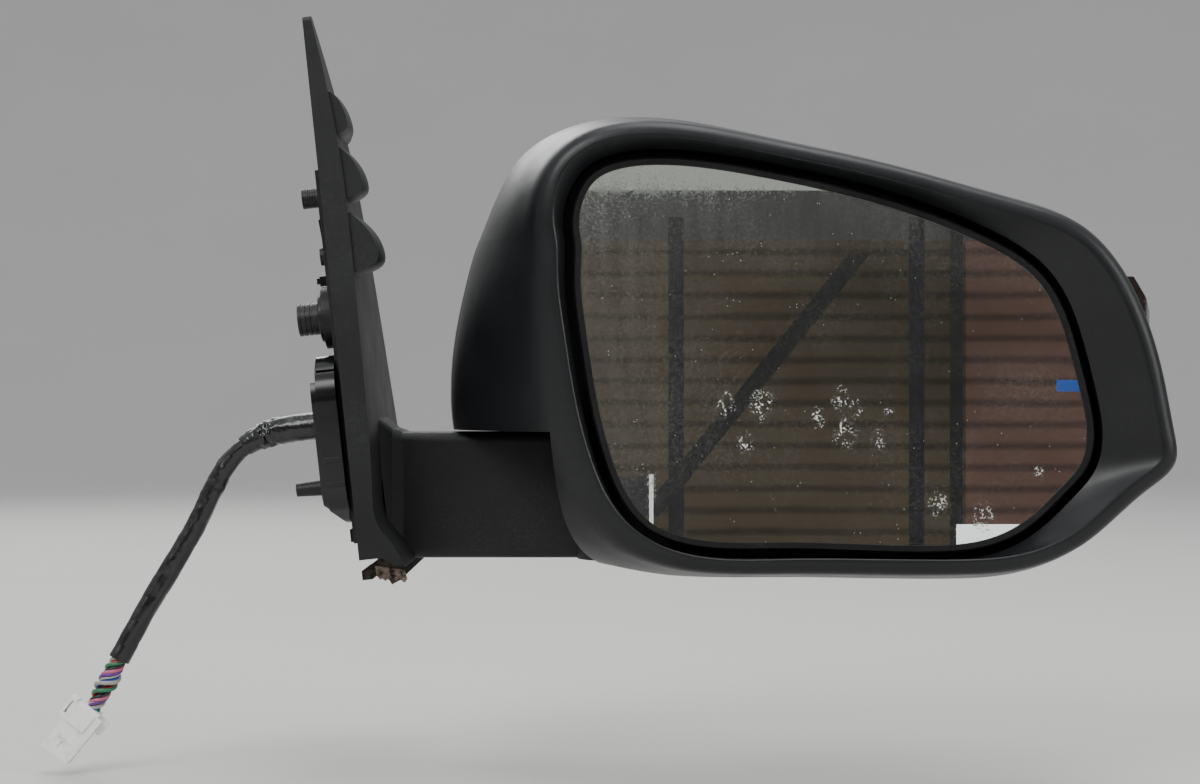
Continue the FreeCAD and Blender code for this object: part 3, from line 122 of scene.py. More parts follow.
class Finish:
    """One procedural material, with a short call for each kind of node."""

    def __init__(self, name):
        self.material = bpy.data.materials.new(name)
        self.material.use_nodes = True
        self.tree = self.material.node_tree
        self.shader = self.tree.nodes["Principled BSDF"]
        self.place = self.tree.nodes.new("ShaderNodeTexCoord").outputs["Object"]

    def put(self, kind, sockets, **settings):
        """A node with its settings made and its sockets set or linked."""
        node = self.tree.nodes.new("ShaderNode" + kind)
        for key, value in settings.items():
            setattr(node, key, value)
        for socket, value in sockets.items():
            if isinstance(value, bpy.types.NodeSocket):
                self.tree.links.new(value, node.inputs[socket])
            else:
                node.inputs[socket].default_value = value
        return node

    def wear(self, **values):
        """Sets the shader's own sockets, named with _ for a space."""
        for key, value in values.items():
            socket = self.shader.inputs[key.replace("_", " ")]
            if isinstance(value, bpy.types.NodeSocket):
                self.tree.links.new(value, socket)
            else:
                socket.default_value = value
        return self

    def math(self, kind, a, b=0.0, clamp=False):
        return self.put("Math", {0: a, 1: b}, operation=kind, use_clamp=clamp).outputs[0]

    def times(self, a, b):
        return self.math("MULTIPLY", a, b)

    def plus(self, a, b, clamp=False):
        return self.math("ADD", a, b, clamp)

    def greater(self, a, b):
        return self.math("MAXIMUM", a, b)

    def spread(self, value, low, high, to_low=0.0, to_high=1.0):
        """Takes low..high to to_low..to_high, held at its ends."""
        sockets = {"Value": value, "From Min": low, "From Max": high, "To Min": to_low, "To Max": to_high}
        return self.put("MapRange", sockets).outputs[0]

    def stretched(self, stretch):
        if stretch == (1, 1, 1):
            return self.place
        return self.put("Mapping", {"Vector": self.place, "Scale": stretch}).outputs[0]

    def cloud(self, size, low=0.3, high=0.7, to_low=0.0, to_high=1.0, detail=3.0, stretch=(1, 1, 1)):
        """Noise with lumps about size across, of which low..high becomes to_low..to_high."""
        sockets = {"Vector": self.stretched(stretch), "Scale": 1 / size, "Detail": detail}
        return self.spread(self.put("TexNoise", sockets).outputs[0], low, high, to_low, to_high)

    def cells(self, size, low, high, to_low=0.0, to_high=1.0, stretch=(1, 1, 1), feature="F1"):
        """Distance from the middle, or the edge, of random cells about size across."""
        sockets = {"Vector": self.stretched(stretch), "Scale": 1 / size}
        distance = self.put("TexVoronoi", sockets, feature=feature).outputs["Distance"]
        return self.spread(distance, low, high, to_low, to_high)

    def bands(self, pitch, **sockets):
        """Level stripes, one every pitch up the object."""
        sockets.update({"Vector": self.place, "Scale": 1 / (pitch * WAVE_STRETCH)})
        return self.put("TexWave", sockets, bands_direction="Z").outputs["Fac"]

    def reach(self, centre, stretch=None):
        """Distance from a place, its axes stretched first."""
        offset = self.put("VectorMath", {0: self.place, 1: centre}, operation="SUBTRACT").outputs[0]
        if stretch:
            offset = self.put("VectorMath", {0: offset, 1: stretch}, operation="MULTIPLY").outputs[0]
        return self.put("VectorMath", {0: offset}, operation="LENGTH").outputs["Value"]

    def colour(self, share, a, b):
        """Blends two colours, each three numbers or a socket."""
        sockets = {0: share}
        for socket, value in ((6, a), (7, b)):
            sockets[socket] = value if isinstance(value, bpy.types.NodeSocket) else (*value, 1.0)
        return self.put("Mix", sockets, data_type="RGBA").outputs[2]

    def edges(self, radius, low=0.70, high=0.97):
        """1 on edges sharper than radius, 0 on flats."""
        rounded = self.put("Bevel", {"Radius": radius}, samples=4).outputs[0]
        flat = self.put("NewGeometry", {}).outputs["Normal"]
        along = self.put("VectorMath", {0: rounded, 1: flat}, operation="DOT_PRODUCT").outputs["Value"]
        return self.spread(along, low, high, 1.0, 0.0)

    def bump(self, height, distance, strength=1.0, below=None, round_edges=None):
        """Adds relief of that height to the surface, over an earlier bump or over rounded edges."""
        sockets = {"Height": height, "Distance": distance, "Strength": strength}
        if below is not None:
            sockets["Normal"] = below
        elif round_edges:
            sockets["Normal"] = self.put("Bevel", {"Radius": round_edges}, samples=4).outputs[0]
        return self.put("Bump", sockets).outputs[0]

    def facing_up(self):
        normal = self.put("NewGeometry", {}).outputs["Normal"]
        return self.put("SeparateXYZ", {0: normal}).outputs["Z"]


def moulded(name, colour, roughness, grain=0.45 * MM, relief=0.03 * MM, dust=0.5, scuffs=0.5, edge=0.25 * MM,
            shine=0.5, scuffed_at=()):
    """Moulded plastic: fine grain, patchy sheen, dust on its upper sides, thin scratches and rubbed edges.

    scuffed_at lists extra rubbed places, each (place, radius).
    """
    f = Finish(name)
    dusty = f.times(f.cloud(26 * MM, 0.42, 0.72), f.cloud(1.3 * MM, 0.45, 0.7, detail=6))
    dusty = f.times(dusty, f.spread(f.facing_up(), -0.6, 1.0, 0.25, 1.0))
    specks = f.cells(3.2 * MM, 0.035, 0.075, 1.0, 0.0)
    specks = f.times(specks, f.cloud(14 * MM, 0.52, 0.66))
    dusty = f.greater(f.times(dusty, 0.16 * dust), f.times(specks, 0.35 * dust))
    scratch = f.cloud(1.1 * MM, 0.66, 0.72, detail=1, stretch=(0.05, 1, 1.35))
    scratch = f.times(scratch, f.cloud(30 * MM, 0.52, 0.7))
    rubbed = f.times(f.edges(edge * 2), f.cloud(7 * MM, 0.38, 0.66, detail=5))
    marks = f.plus(f.times(scratch, 0.10 * scuffs), f.times(rubbed, 0.22 * scuffs))
    marks = f.plus(marks, dusty, clamp=True)
    for centre, radius in scuffed_at:
        spot = f.spread(f.reach(centre), radius * 0.3, radius, 1.0, 0.0)
        streaks = f.cloud(1.4 * MM, 0.50, 0.70, detail=4, stretch=(0.5, 1, 1.6))
        marks = f.greater(marks, f.times(f.times(spot, streaks), 0.22))
    paler = tuple(0.16 + 0.75 * c for c in colour)
    body = f.colour(f.cloud(40 * MM, 0.3, 0.7, 0.0, 1.0), colour, tuple(c * 1.35 + 0.001 for c in colour))
    f.wear(Base_Color=f.colour(marks, body, paler))
    sheen = f.cloud(22 * MM, 0.3, 0.7, roughness - 0.05, roughness + 0.06, detail=4)
    f.wear(Roughness=f.plus(sheen, f.times(marks, 0.45), clamp=True))
    f.wear(Specular_IOR_Level=shine)
    fine = f.bump(f.cloud(grain, 0.25, 0.75, detail=2), relief, round_edges=edge)
    f.wear(Normal=f.bump(f.cloud(9 * MM, 0.3, 0.7, detail=1), 0.05 * MM, 0.5, below=fine))
    return f.material


def metal(name, colour, roughness, metallic=1.0, oxide=(0.05, 0.04, 0.035), tarnish=0.35):
    """Bare or plated metal: brushed lines, tarnish in patches and bright edges."""
    f = Finish(name)
    patches = f.times(f.cloud(3 * MM, 0.45, 0.72, detail=6), tarnish)
    bright = f.times(f.edges(0.3 * MM), 0.5)
    body = f.colour(patches, colour, oxide)
    f.wear(Base_Color=f.colour(bright, body, tuple(min(1.0, c * 1.5 + 0.05) for c in colour)))
    lines = f.cloud(0.5 * MM, 0.3, 0.7, detail=2, stretch=(1, 1, 0.08))
    rough = f.plus(f.times(lines, 0.12), f.times(patches, 0.4))
    f.wear(Metallic=metallic, Roughness=f.plus(rough, roughness - 0.05, clamp=True))
    f.wear(Normal=f.bump(lines, 0.006 * MM, round_edges=0.15 * MM))
    return f.material


def dusted_mirror(name, low, high):
    """Silvered glass under a haze of dust, with dried water marks. The mask is laid out over low..high."""
    f = Finish(name)
    wide, tall = high.x - low.x, high.z - low.z
    parts = f.put("SeparateXYZ", {0: f.place}).outputs
    across = f.spread(parts["X"], low.x, high.x)
    up = f.spread(parts["Z"], low.z, high.z)
    haze = f.cloud(0.7 * MM, 0.45, 0.80, detail=8)
    drift = f.cloud(34 * MM, 0.36, 0.70, 0.1, 1.0, detail=4)
    wiped = f.cloud(5 * MM, 0.35, 0.70, 0.4, 1.0, detail=4, stretch=(1.0, 1.0, 0.18))
    left = f.spread(across, 0.0, 0.30, 1.0, 0.0)
    top = f.spread(up, 0.66, 1.0)
    rim = f.plus(f.times(left, 0.30), f.times(top, 0.30))
    film = f.plus(f.times(drift, 0.012), f.times(rim, 0.16))
    film = f.times(film, wiped)
    speckle = f.times(haze, f.plus(f.times(drift, 0.25), f.times(rim, 0.5)))
    film = f.plus(film, f.times(speckle, 0.32))
    grit = f.times(f.cells(2.4 * MM, 0.045, 0.09, 1.0, 0.0), f.cloud(9 * MM, 0.5, 0.6))
    film = f.greater(film, f.times(grit, 0.5))
    crust = f.times(f.cloud(0.9 * MM, 0.50, 0.62, detail=8), f.cloud(3.2 * MM, 0.42, 0.58, detail=3))
    drops = 0.0
    for share_x, share_z, radius in WATER_MARKS:
        centre = (low.x + share_x * wide, low.y, low.z + share_z * tall)
        spot = f.spread(f.reach(centre, (1, 0, 0.72)), radius * 0.2, radius * 1.2, 1.0, 0.0)
        drops = f.greater(f.times(spot, crust), drops)
    drops = f.times(drops, 0.95)
    cover = f.greater(film, drops)
    dirt = f.colour(f.spread(drops, 0.05, 0.3), (0.42, 0.41, 0.37), (0.74, 0.75, 0.74))
    f.wear(Base_Color=f.colour(f.math("MINIMUM", cover, 1.0), (0.66, 0.67, 0.65), dirt))
    f.wear(Metallic=f.spread(cover, 0.0, 1.0, 1.0, 0.0))
    f.wear(Roughness=f.spread(cover, 0.03, 0.6, 0.0, 0.6))
    f.wear(Normal=f.bump(cover, 0.002 * MM, 0.2))
    return f.material


def smoked_plastic(name):
    """Dark see-through lens with prism ribs inside."""
    f = Finish(name)
    ribs = f.bands(2.2 * MM)
    dusty = f.times(f.cloud(1.0 * MM, 0.5, 0.75, detail=6), f.cloud(12 * MM, 0.4, 0.7))
    f.wear(Base_Color=f.colour(f.times(dusty, 0.3), (0.028, 0.020, 0.019), (0.22, 0.21, 0.20)))
    f.wear(Roughness=f.spread(dusty, 0.0, 1.0, 0.06, 0.4), Transmission_Weight=0.25, IOR=1.49)
    f.wear(Normal=f.bump(ribs, 0.05 * MM, 0.5, round_edges=0.3 * MM))
    return f.material


def board(name):
    """Green solder mask with copper tracks under it."""
    f = Finish(name)
    tracks = f.cells(3 * MM, 0.05, 0.09, 1.0, 0.0, feature="DISTANCE_TO_EDGE")
    f.wear(Base_Color=f.colour(tracks, (0.012, 0.075, 0.03), (0.05, 0.19, 0.06)))
    f.wear(Roughness=f.cloud(4 * MM, 0.3, 0.7, 0.28, 0.42))
    f.wear(Normal=f.bump(tracks, 0.03 * MM, round_edges=0.1 * MM))
    return f.material


def foil(name):
    """Printed heater film: a grey sheet with darker printed strips."""
    f = Finish(name)
    strips = f.bands(6 * MM)
    f.wear(Base_Color=f.colour(f.spread(strips, 0.45, 0.55), (0.10, 0.10, 0.10), (0.26, 0.26, 0.25)))
    f.wear(Roughness=f.cloud(5 * MM, 0.3, 0.7, 0.35, 0.55), Normal=f.bump(strips, 0.02 * MM))
    return f.material


def foam(name, colour, old, torn_at):
    """Foam strip: pores, a soft surface, and a brown torn patch of that radius round torn_at."""
    f = Finish(name)
    pores = f.cells(0.9 * MM, 0.1, 0.6)
    place, radius = torn_at
    patch = f.spread(f.reach(place), radius * 0.4, radius, 1.0, 0.08)
    torn = f.times(patch, f.cloud(3 * MM, 0.38, 0.60, detail=6))
    f.wear(Base_Color=f.colour(torn, f.colour(pores, colour, tuple(c * 0.5 for c in colour)), old))
    f.wear(Roughness=f.spread(pores, 0.0, 1.0, 0.86, 0.96), Specular_IOR_Level=0.2)
    f.wear(Normal=f.bump(f.cloud(2.5 * MM, 0.3, 0.7, detail=4), 0.12 * MM, below=f.bump(pores, 0.08 * MM)))
    return f.material


def vinyl_tape(name):
    """Shiny black tape, stretched and creased, with dull glue smears."""
    f = Finish(name)
    smear = f.times(f.cloud(5 * MM, 0.5, 0.72, detail=5), 0.5)
    f.wear(Base_Color=f.colour(f.times(smear, 0.18), (0.006, 0.006, 0.007), (0.10, 0.10, 0.10)))
    f.wear(Roughness=f.spread(smear, 0.0, 0.5, 0.24, 0.40), Specular_IOR_Level=0.6)
    creases = f.cloud(7 * MM, 0.3, 0.7, detail=1.5, stretch=(1.6, 1.2, 0.5))
    fine = f.cloud(0.7 * MM, 0.3, 0.7, detail=2)
    f.wear(Normal=f.bump(creases, 0.12 * MM, 0.5, below=f.bump(fine, 0.004 * MM)))
    return f.material


def nylon(name):
    """White moulded nylon, a little see-through, grubby in patches, with a painted highlight that lightens
    its edges.
    """
    f = Finish(name)
    grubby = f.times(f.cloud(4 * MM, 0.5, 0.75, detail=6), 0.35)
    # Painted highlight: the colour is lightened along the edges.
    edge = f.times(f.edges(0.4 * MM), 0.4)
    body = f.colour(grubby, (0.84, 0.84, 0.82), (0.45, 0.41, 0.34))
    f.wear(Base_Color=f.colour(edge, body, (0.92, 0.92, 0.90)))
    f.wear(Subsurface_Weight=0.02, Subsurface_Scale=0.4 * MM)
    f.wear(Roughness=f.cloud(3 * MM, 0.3, 0.7, 0.36, 0.5))
    f.wear(Normal=f.bump(f.cloud(1.2 * MM, 0.3, 0.7), 0.015 * MM, round_edges=0.25 * MM))
    return f.material


def insulation(name, colour):
    """Thin soft wire insulation, with faint handling marks along it."""
    f = Finish(name)
    marks = f.cloud(1.5 * MM, 0.5, 0.75, 0.0, 0.35, detail=5)
    f.wear(Base_Color=f.colour(marks, colour, tuple(c * 0.45 + 0.01 for c in colour)))
    f.wear(Roughness=f.cloud(2 * MM, 0.3, 0.7, 0.30, 0.45), Normal=f.bump(marks, 0.03 * MM))
    return f.material


# ---------------------------------------------------------------- meshes

def placed(name, data):
    """A new object in the scene, made of a mesh, a curve, a light or a camera."""
    thing = bpy.data.objects.new(name, data)
    bpy.context.scene.collection.objects.link(thing)
    return thing


def solid(name, vertices, faces):
    mesh = bpy.data.meshes.new(name)
    mesh.from_pydata(vertices, [], faces)
    mesh.validate()
    return mesh


def tube_faces(rings, around):
    """The quads between rings that follow each other."""
    faces = []
    for i in range(rings - 1):
        for j in range(around):
            k = (j + 1) % around
            faces.append((i * around + j, i * around + k, (i + 1) * around + k, (i + 1) * around + j))
    return faces


def finished(name, mesh, material, body, smooth=True):
    """Links a mesh as a piece that rides on a body."""
    piece = placed(name, mesh)
    mesh.materials.append(material)
    if smooth:
        mesh.polygons.foreach_set("use_smooth", [True] * len(mesh.polygons))
    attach(piece, body)
    return piece


def centreline():
    """The cable's spline, and points along it as Blender makes them."""
    curve = bpy.data.curves.new("harness_line", "CURVE")
    curve.dimensions = "3D"
    curve.resolution_u = 24
    spline = curve.splines.new("NURBS")
    spline.points.add(len(ROUTE) - 1)
    for point, place in zip(spline.points, ROUTE):
        point.co = (*(c * MM for c in place), 1.0)
    spline.order_u = 3
    spline.use_endpoint_u = True
    guide = bpy.data.objects.new("harness_line", curve)
    mesh = bpy.data.meshes.new_from_object(guide)
    points = [v.co.copy() for v in mesh.vertices]
    bpy.data.meshes.remove(mesh)
    bpy.data.objects.remove(guide)
    return curve, points


class Path:
    """A line read from a spline, with a frame that doesn't twist, asked for by length."""

    def __init__(self, points):
        self.points = points
        self.at = [0.0]
        for a, b in zip(points, points[1:]):
            self.at.append(self.at[-1] + (b - a).length)
        self.length = self.at[-1]
        self.sides = []
        side = Vector((0, 1, 0))
        for i in range(len(points)):
            along = (points[min(i + 1, len(points) - 1)] - points[max(i - 1, 0)]).normalized()
            side = (side - along * side.dot(along)).normalized()
            self.sides.append((along, side.copy()))

    def spot(self, s):
        """Place, direction and two cross directions at length s."""
        s = min(max(s, 0.0), self.length)
        after = next((k for k, a in enumerate(self.at) if a > s), len(self.at))
        i = max(0, min(len(self.at) - 2, after - 1))
        share = (s - self.at[i]) / max(self.at[i + 1] - self.at[i], 1e-9)
        place = self.points[i].lerp(self.points[i + 1], share)
        along = self.sides[i][0].lerp(self.sides[i + 1][0], share).normalized()
        side = self.sides[i][1].lerp(self.sides[i + 1][1], share)
        side = (side - along * side.dot(along)).normalized()
        return place, along, side, along.cross(side)


def skin(path, start, stop, rings, around, radius, wall=0.5 * MM):
    """A closed tube along a path, whose radius is a function of length and angle, with an open far mouth."""
    vertices = []

    def ring(s, measure):
        place, along, side, up = path.spot(s)
        for j in range(around):
            angle = 2 * math.pi * j / around
            vertices.append(place + (side * math.cos(angle) + up * math.sin(angle)) * measure(angle))

    for i in range(rings):
        s = start + (stop - start) * i / (rings - 1)
        ring(s, lambda angle: radius(s, angle))
    ring(stop, lambda angle: radius(stop, angle) - wall)
    ring(stop - MOUTH_DEPTH, lambda angle: radius(stop, angle) - wall)
    total = rings + 2
    faces = tube_faces(total, around)
    faces.append(tuple(range(around)))
    faces.append(tuple((total - 1) * around + j for j in reversed(range(around))))
    return solid("skin", vertices, faces)


# ---------------------------------------------------------------- the harness

def tape_radius(s, angle):
    """The taped sleeve: a lumpy bundle under spiral turns of tape, pinched and creased at its bends."""
    turn = (s / (11 * MM) - angle / (2 * math.pi)) % 1.0
    step = 0.14 * MM * math.sin(math.pi * turn) ** 0.6
    lumps = noise.noise(Vector((s * 45, math.cos(angle) * 1.1, math.sin(angle) * 1.1))) * 0.55 * MM
    crease = noise.noise(Vector((s * 210, math.cos(angle) * 1.9 + 7, math.sin(angle) * 1.9))) ** 2 * 1.3 * MM
    bend = 0.6 * math.exp(-((s - 56 * MM) / (22 * MM)) ** 2) + 0.15
    flat = 0.20 * MM * math.cos(2 * angle + s * 40)
    mouth = 0.45 * MM * max(0.0, (s - SLEEVE_END + 14 * MM) / (14 * MM)) ** 2
    return CABLE_R - 0.2 * MM + step + lumps + crease * bend + flat + mouth


def boot_radius(s, angle):
    """The thick taped exit: smooth out of the drum, then a crumpled knot that tapers to the sleeve."""
    knot = math.exp(-((s - BOOT_KNOT) / (4.2 * MM)) ** 2)
    taper = max(0.0, (s - BOOT_TAPER) / (BOOT_END - BOOT_TAPER))
    crumple = noise.noise(Vector((s * 520, math.cos(angle) * 2.6, math.sin(angle) * 2.6 + 3)))
    crumple += 0.5 * noise.noise(Vector((s * 1100, math.cos(angle) * 5, math.sin(angle) * 5)))
    fold = abs(math.sin(2.5 * angle + s * 310)) * 0.5 * MM * knot
    return BOOT_R - 1.15 * MM * taper + crumple * (0.12 * MM + 0.75 * MM * knot) + fold


def make_wires(path, materials):
    """Nine coloured wires that leave the sleeve, twist round each other and enter the connector."""
    pieces = []
    start, stop = SLEEVE_END - WIRE_HIDDEN, path.length + WIRE_IN_PLUG
    for number, name in enumerate(WIRE_COLOURS):
        turns = random.uniform(2.5, 3.0)
        bulge = random.uniform(0.2, 1.9) * MM
        phase = 2 * math.pi * number / len(WIRE_COLOURS)
        curve = bpy.data.curves.new("wire_" + name, "CURVE")
        curve.dimensions = "3D"
        curve.bevel_depth = WIRE_R
        curve.bevel_resolution = 4
        curve.use_fill_caps = True
        spline = curve.splines.new("NURBS")
        spline.points.add(WIRE_STEPS - 1)
        for i, point in enumerate(spline.points):
            share = i / (WIRE_STEPS - 1)
            s = start + (stop - start) * share
            place, along, side, up = path.spot(s)
            place = place + along * max(0.0, s - path.length)
            angle = phase + turns * 2 * math.pi * share
            loose = math.sin(math.pi * min(1.0, max(0.0, share * 1.25 - 0.2))) ** 2
            out = WIRE_OUT + bulge * loose
            across = side * math.cos(angle) + up * math.sin(angle)
            point.co = (*(place + across * out), 1.0)
        spline.order_u = 4
        spline.use_endpoint_u = True
        piece = placed("wire_" + name, curve)
        curve.materials.append(materials[name])
        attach(piece, "base")
        pieces.append(piece)
    return pieces


def make_harness():
    """The free cable from the drum to its connector, as one cord with what is on it."""
    tape = vinyl_tape("tape_black")
    curve, points = centreline()
    path = Path(points)
    curve.bevel_depth = CORE_R
    curve.bevel_resolution = 5
    curve.use_fill_caps = True
    curve.materials.append(tape)
    narrow = [1.0] * (len(ROUTE) - 2) + [0.85, 0.5]
    for point, share in zip(curve.splines[0].points, narrow):
        point.radius = share
    core = placed("harness_core", curve)
    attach(core, "base")
    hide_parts("harness_cable")
    taped = skin(path, SLEEVE_START, SLEEVE_END, 330, 44, tape_radius)
    sleeve = finished("harness_sleeve", taped, tape, "base")
    crumpled = skin(path, BOOT_START, BOOT_END, 150, 56, boot_radius)
    boot = finished("harness_taped_boot", crumpled, tape, "base")
    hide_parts("harness_boot")
    wires = make_wires(path, {n: insulation("wire_" + n, c) for n, c in WIRE_COLOURS.items()})


# ---------------------------------------------------------------- finishes of the CAD nodes

def dress_nodes():
    """Gives each carried-over node its own finish by its slot, with a few nodes of their own."""
    glass_low, glass_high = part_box("mirror_glass")
    torn = ((37 * MM, -50 * MM, -99 * MM), 16 * MM)
    finishes = {
        "textured_plastic": moulded("plastic_grained", (0.0085, 0.0088, 0.0095), 0.50, scuffs=0.45, dust=0.5,
                                    shine=0.34),
        "cap_plastic": moulded("plastic_cap", (0.0060, 0.0062, 0.0066), 0.32, relief=0.012 * MM, dust=0.4,
                               shine=0.35),
        "smoked_lens": smoked_plastic("lens_smoked"),
        "grey_plastic": moulded("plastic_grey", (0.10, 0.10, 0.105), 0.45, scuffs=0.3),
        "circuit_board": board("board_green"),
        "steel": metal("steel_plated", (0.58, 0.57, 0.55), 0.30),
        "dark_steel": metal("steel_black", (0.006, 0.006, 0.007), 0.42, metallic=0.2),
        "spring_steel": metal("steel_spring", (0.30, 0.29, 0.28), 0.33),
        "brass": metal("brass_cut", (0.72, 0.52, 0.22), 0.26, oxide=(0.20, 0.12, 0.04)),
        "acetal": moulded("acetal_natural", (0.62, 0.61, 0.56), 0.38, scuffs=0.2, dust=0.2),
        "mirror": dusted_mirror("glass_silvered", glass_low, glass_high),
        "film": foil("film_heater"),
        "gloss_black_plastic": moulded("plastic_gloss", (0.0050, 0.0050, 0.0056), 0.18, relief=0.005 * MM,
                                       dust=0.35, scuffs=0.3, shine=0.45),
        "cast_aluminium": moulded("casting_coated", (0.0075, 0.0075, 0.0080), 0.46, grain=0.7 * MM,
                                  relief=0.05 * MM, dust=0.5, scuffs=0.8, shine=0.35),
        "foam": foam("foam_black", (0.010, 0.0095, 0.009), (0.13, 0.095, 0.07), torn),
        "cable_tape": vinyl_tape("tape_plain"),
        "white_plastic": nylon("nylon_white"),
    }
    creased = [((110 * MM, -58 * MM, -87 * MM), 9 * MM), ((100 * MM, -40 * MM, -58 * MM), 7 * MM)]
    own = {
        "rear_housing": moulded("plastic_satin", (0.0062, 0.0066, 0.0076), 0.36, grain=0.35 * MM,
                                relief=0.014 * MM, scuffs=0.5, dust=0.35, shine=0.34, scuffed_at=creased),
        "glass_holder": moulded("plastic_bezel", (0.0045, 0.0045, 0.0050), 0.40, scuffs=0.4, dust=0.9,
                                shine=0.3),
        "base_cover": moulded("plastic_base", (0.0085, 0.0088, 0.0095), 0.50, scuffs=0.45, dust=0.7,
                              shine=0.30),
    }
    slots = {part["node"]: part["material_slot"] for part in frame["record"]["subparts"]}
    for name, node in frame["nodes"].items():
        node.data.materials.clear()
        node.data.materials.append(own.get(name, finishes[slots[name]]))


# ---------------------------------------------------------------- small pieces that only show

def from_base(x, y, z):
    """A place given in the leaning base's own axes, in millimetres, as a place in the scene."""
    sine, cosine = math.sin(LEAN), math.cos(LEAN)
    return Vector(((x * cosine - z * sine) * MM, y * MM, (x * sine + z * cosine) * MM))


def turned(profile, place, around=48):
    """A closed ring round a profile of (along, out); place turns (along, out, angle) into a point."""
    vertices, faces = [], []
    count = len(profile)
    for j in range(around):
        angle = 2 * math.pi * j / around
        vertices += [place(along, out, angle) for along, out in profile]
    for j in range(around):
        k = (j + 1) % around
        for i in range(count):
            n = (i + 1) % count
            faces.append((j * count + i, j * count + n, k * count + n, k * count + i))
    return solid("turned", vertices, faces)


def make_washer():
    """The flange under the main sleeve, flat against its pad."""
    profile = [(-0.05, 6.7), (-0.05, 9.3), (-0.35, 9.6), (-1.35, 9.6), (-1.65, 9.3), (-1.65, 6.9),
               (-1.4, 6.7)]

    def round_sleeve(along, out, angle):
        return from_base(along, out * math.cos(angle), out * math.sin(angle))

    mesh = turned(profile, round_sleeve)
    finished("sleeve_flange", mesh, metal("flange_black", (0.012, 0.012, 0.013), 0.36, metallic=0.4), "base",
             smooth=False)


def make_mould_marks():
    """An ejector ring and a date frame, raised a little on the arm's rear face."""
    ink = moulded("plastic_marks", (0.0085, 0.0088, 0.0095), 0.42, scuffs=0.6, dust=0.7, shine=0.4)
    centre = (83.1, -55.6)
    strips = [(63.4, 68.4, -73.7, -73.4), (63.4, 68.4, -81.7, -81.4), (63.4, 63.7, -81.4, -73.7),
              (68.1, 68.4, -81.4, -73.7), (64.3, 67.5, -76.6, -76.4), (64.3, 67.5, -78.9, -78.7)]

    def on_arm(along, out, angle):
        return Vector(((centre[0] + out * math.cos(angle)) * MM, (ARM_FACE_Y - along) * MM,
                       (centre[1] + out * math.sin(angle)) * MM))

    profile = [(-0.1, 2.05), (0.12, 2.15), (0.12, 2.35), (-0.1, 2.45)]
    finished("mould_ring", turned(profile, on_arm, 40), ink, "base", smooth=False)
    vertices, faces = [], []
    for x0, x1, z0, z1 in strips:
        start = len(vertices)
        for y in (ARM_FACE_Y + 0.05, ARM_FACE_Y - 0.12):
            vertices += [(x * MM, y * MM, z * MM) for x, z in ((x0, z0), (x1, z0), (x1, z1), (x0, z1))]
        faces += [tuple(start + i for i in face) for face in
                  ((0, 1, 2, 3), (7, 6, 5, 4), (0, 4, 5, 1), (1, 5, 6, 2), (2, 6, 7, 3), (3, 7, 4, 0))]
    mesh = solid("mould_frame", vertices, faces)
    finished("mould_frame", mesh, ink, "base", smooth=False)


def make_torn_foam():
    """A frayed flap at the rear end of the belt seal, where the foam has torn and folded over."""
    vertices, faces = [], []
    rows, columns = 26, 12
    for layer in (0.0, 1.0):
        for i in range(rows):
            across = i / (rows - 1)
            for j in range(columns):
                down = j / (columns - 1)
                rag = 1.0 + 0.45 * noise.noise(Vector((across * 9, 3.1, 0.7)))
                x = 25.0 + 11.5 * across + 1.1 * down
                z = -96.2 - 1.6 * across - 4.4 * down * rag
                y = -50.6 - 0.9 * down - 1.0 * noise.noise(Vector((across * 6, down * 3, 5.0)))
                thick = (0.25 + 0.5 * (1 - down)) * layer
                lump = 0.5 * noise.noise(Vector((across * 17, down * 9, layer * 4)))
                vertices.append(Vector((x * MM, (y - thick - lump * 0.4) * MM, (z + lump * 0.4) * MM)))
    size = rows * columns
    for i in range(rows - 1):
        for j in range(columns - 1):
            a = i * columns + j
            faces.append((a, a + 1, a + columns + 1, a + columns))
            faces.append((size + a, size + a + columns, size + a + columns + 1, size + a + 1))
    rim = [i * columns for i in range(rows)] + [(rows - 1) * columns + j for j in range(1, columns)]
    rim += [i * columns + columns - 1 for i in reversed(range(rows - 1))]
    rim += list(reversed(range(1, columns - 1)))
    for a, b in zip(rim, rim[1:] + rim[:1]):
        faces.append((a, b, size + b, size + a))
    torn = ((31 * MM, -50 * MM, -99 * MM), 30 * MM)
    brown = foam("foam_torn", (0.020, 0.017, 0.015), (0.15, 0.115, 0.09), torn)
    finished("foam_flap", solid("foam_flap", vertices, faces), brown, "base")


# ---------------------------------------------------------------- the studio

def plain(name, colour, glow=0.0):
    """A flat finish with a faint variation, which can glow."""
    f = Finish(name)
    f.wear(Base_Color=f.colour(f.cloud(0.4, 0.3, 0.7), colour, tuple(c * 0.97 for c in colour)))
    f.wear(Roughness=0.9)
    if glow:
        f.wear(Emission_Color=(*colour, 1.0), Emission_Strength=glow)
    return f.material


def make_floor():
    """A pale round floor that curves up at its rim, below the lowest piece."""
    floor_z = cad_box[0][2] - FLOOR_GAP
    profile = [(0.0, 0.0), (FLOOR_FLAT, 0.0)]
    for step in range(1, 27):
        rise = math.radians(3 * step)
        out = FLOOR_FLAT + FLOOR_CURVE * math.sin(rise)
        profile.append((out, FLOOR_CURVE - FLOOR_CURVE * math.cos(rise)))
    vertices = []
    for r, z in profile:
        for j in range(FLOOR_AROUND):
            angle = 2 * math.pi * j / FLOOR_AROUND
            vertices.append((0.11 + r * math.cos(angle), r * math.sin(angle), floor_z + z))
    mesh = solid("floor", vertices, tube_faces(len(profile), FLOOR_AROUND))
    mesh.polygons.foreach_set("use_smooth", [True] * len(mesh.polygons))
    mesh.materials.append(plain("studio_floor", (0.52, 0.515, 0.50)))
    floor = placed("studio_floor", mesh)


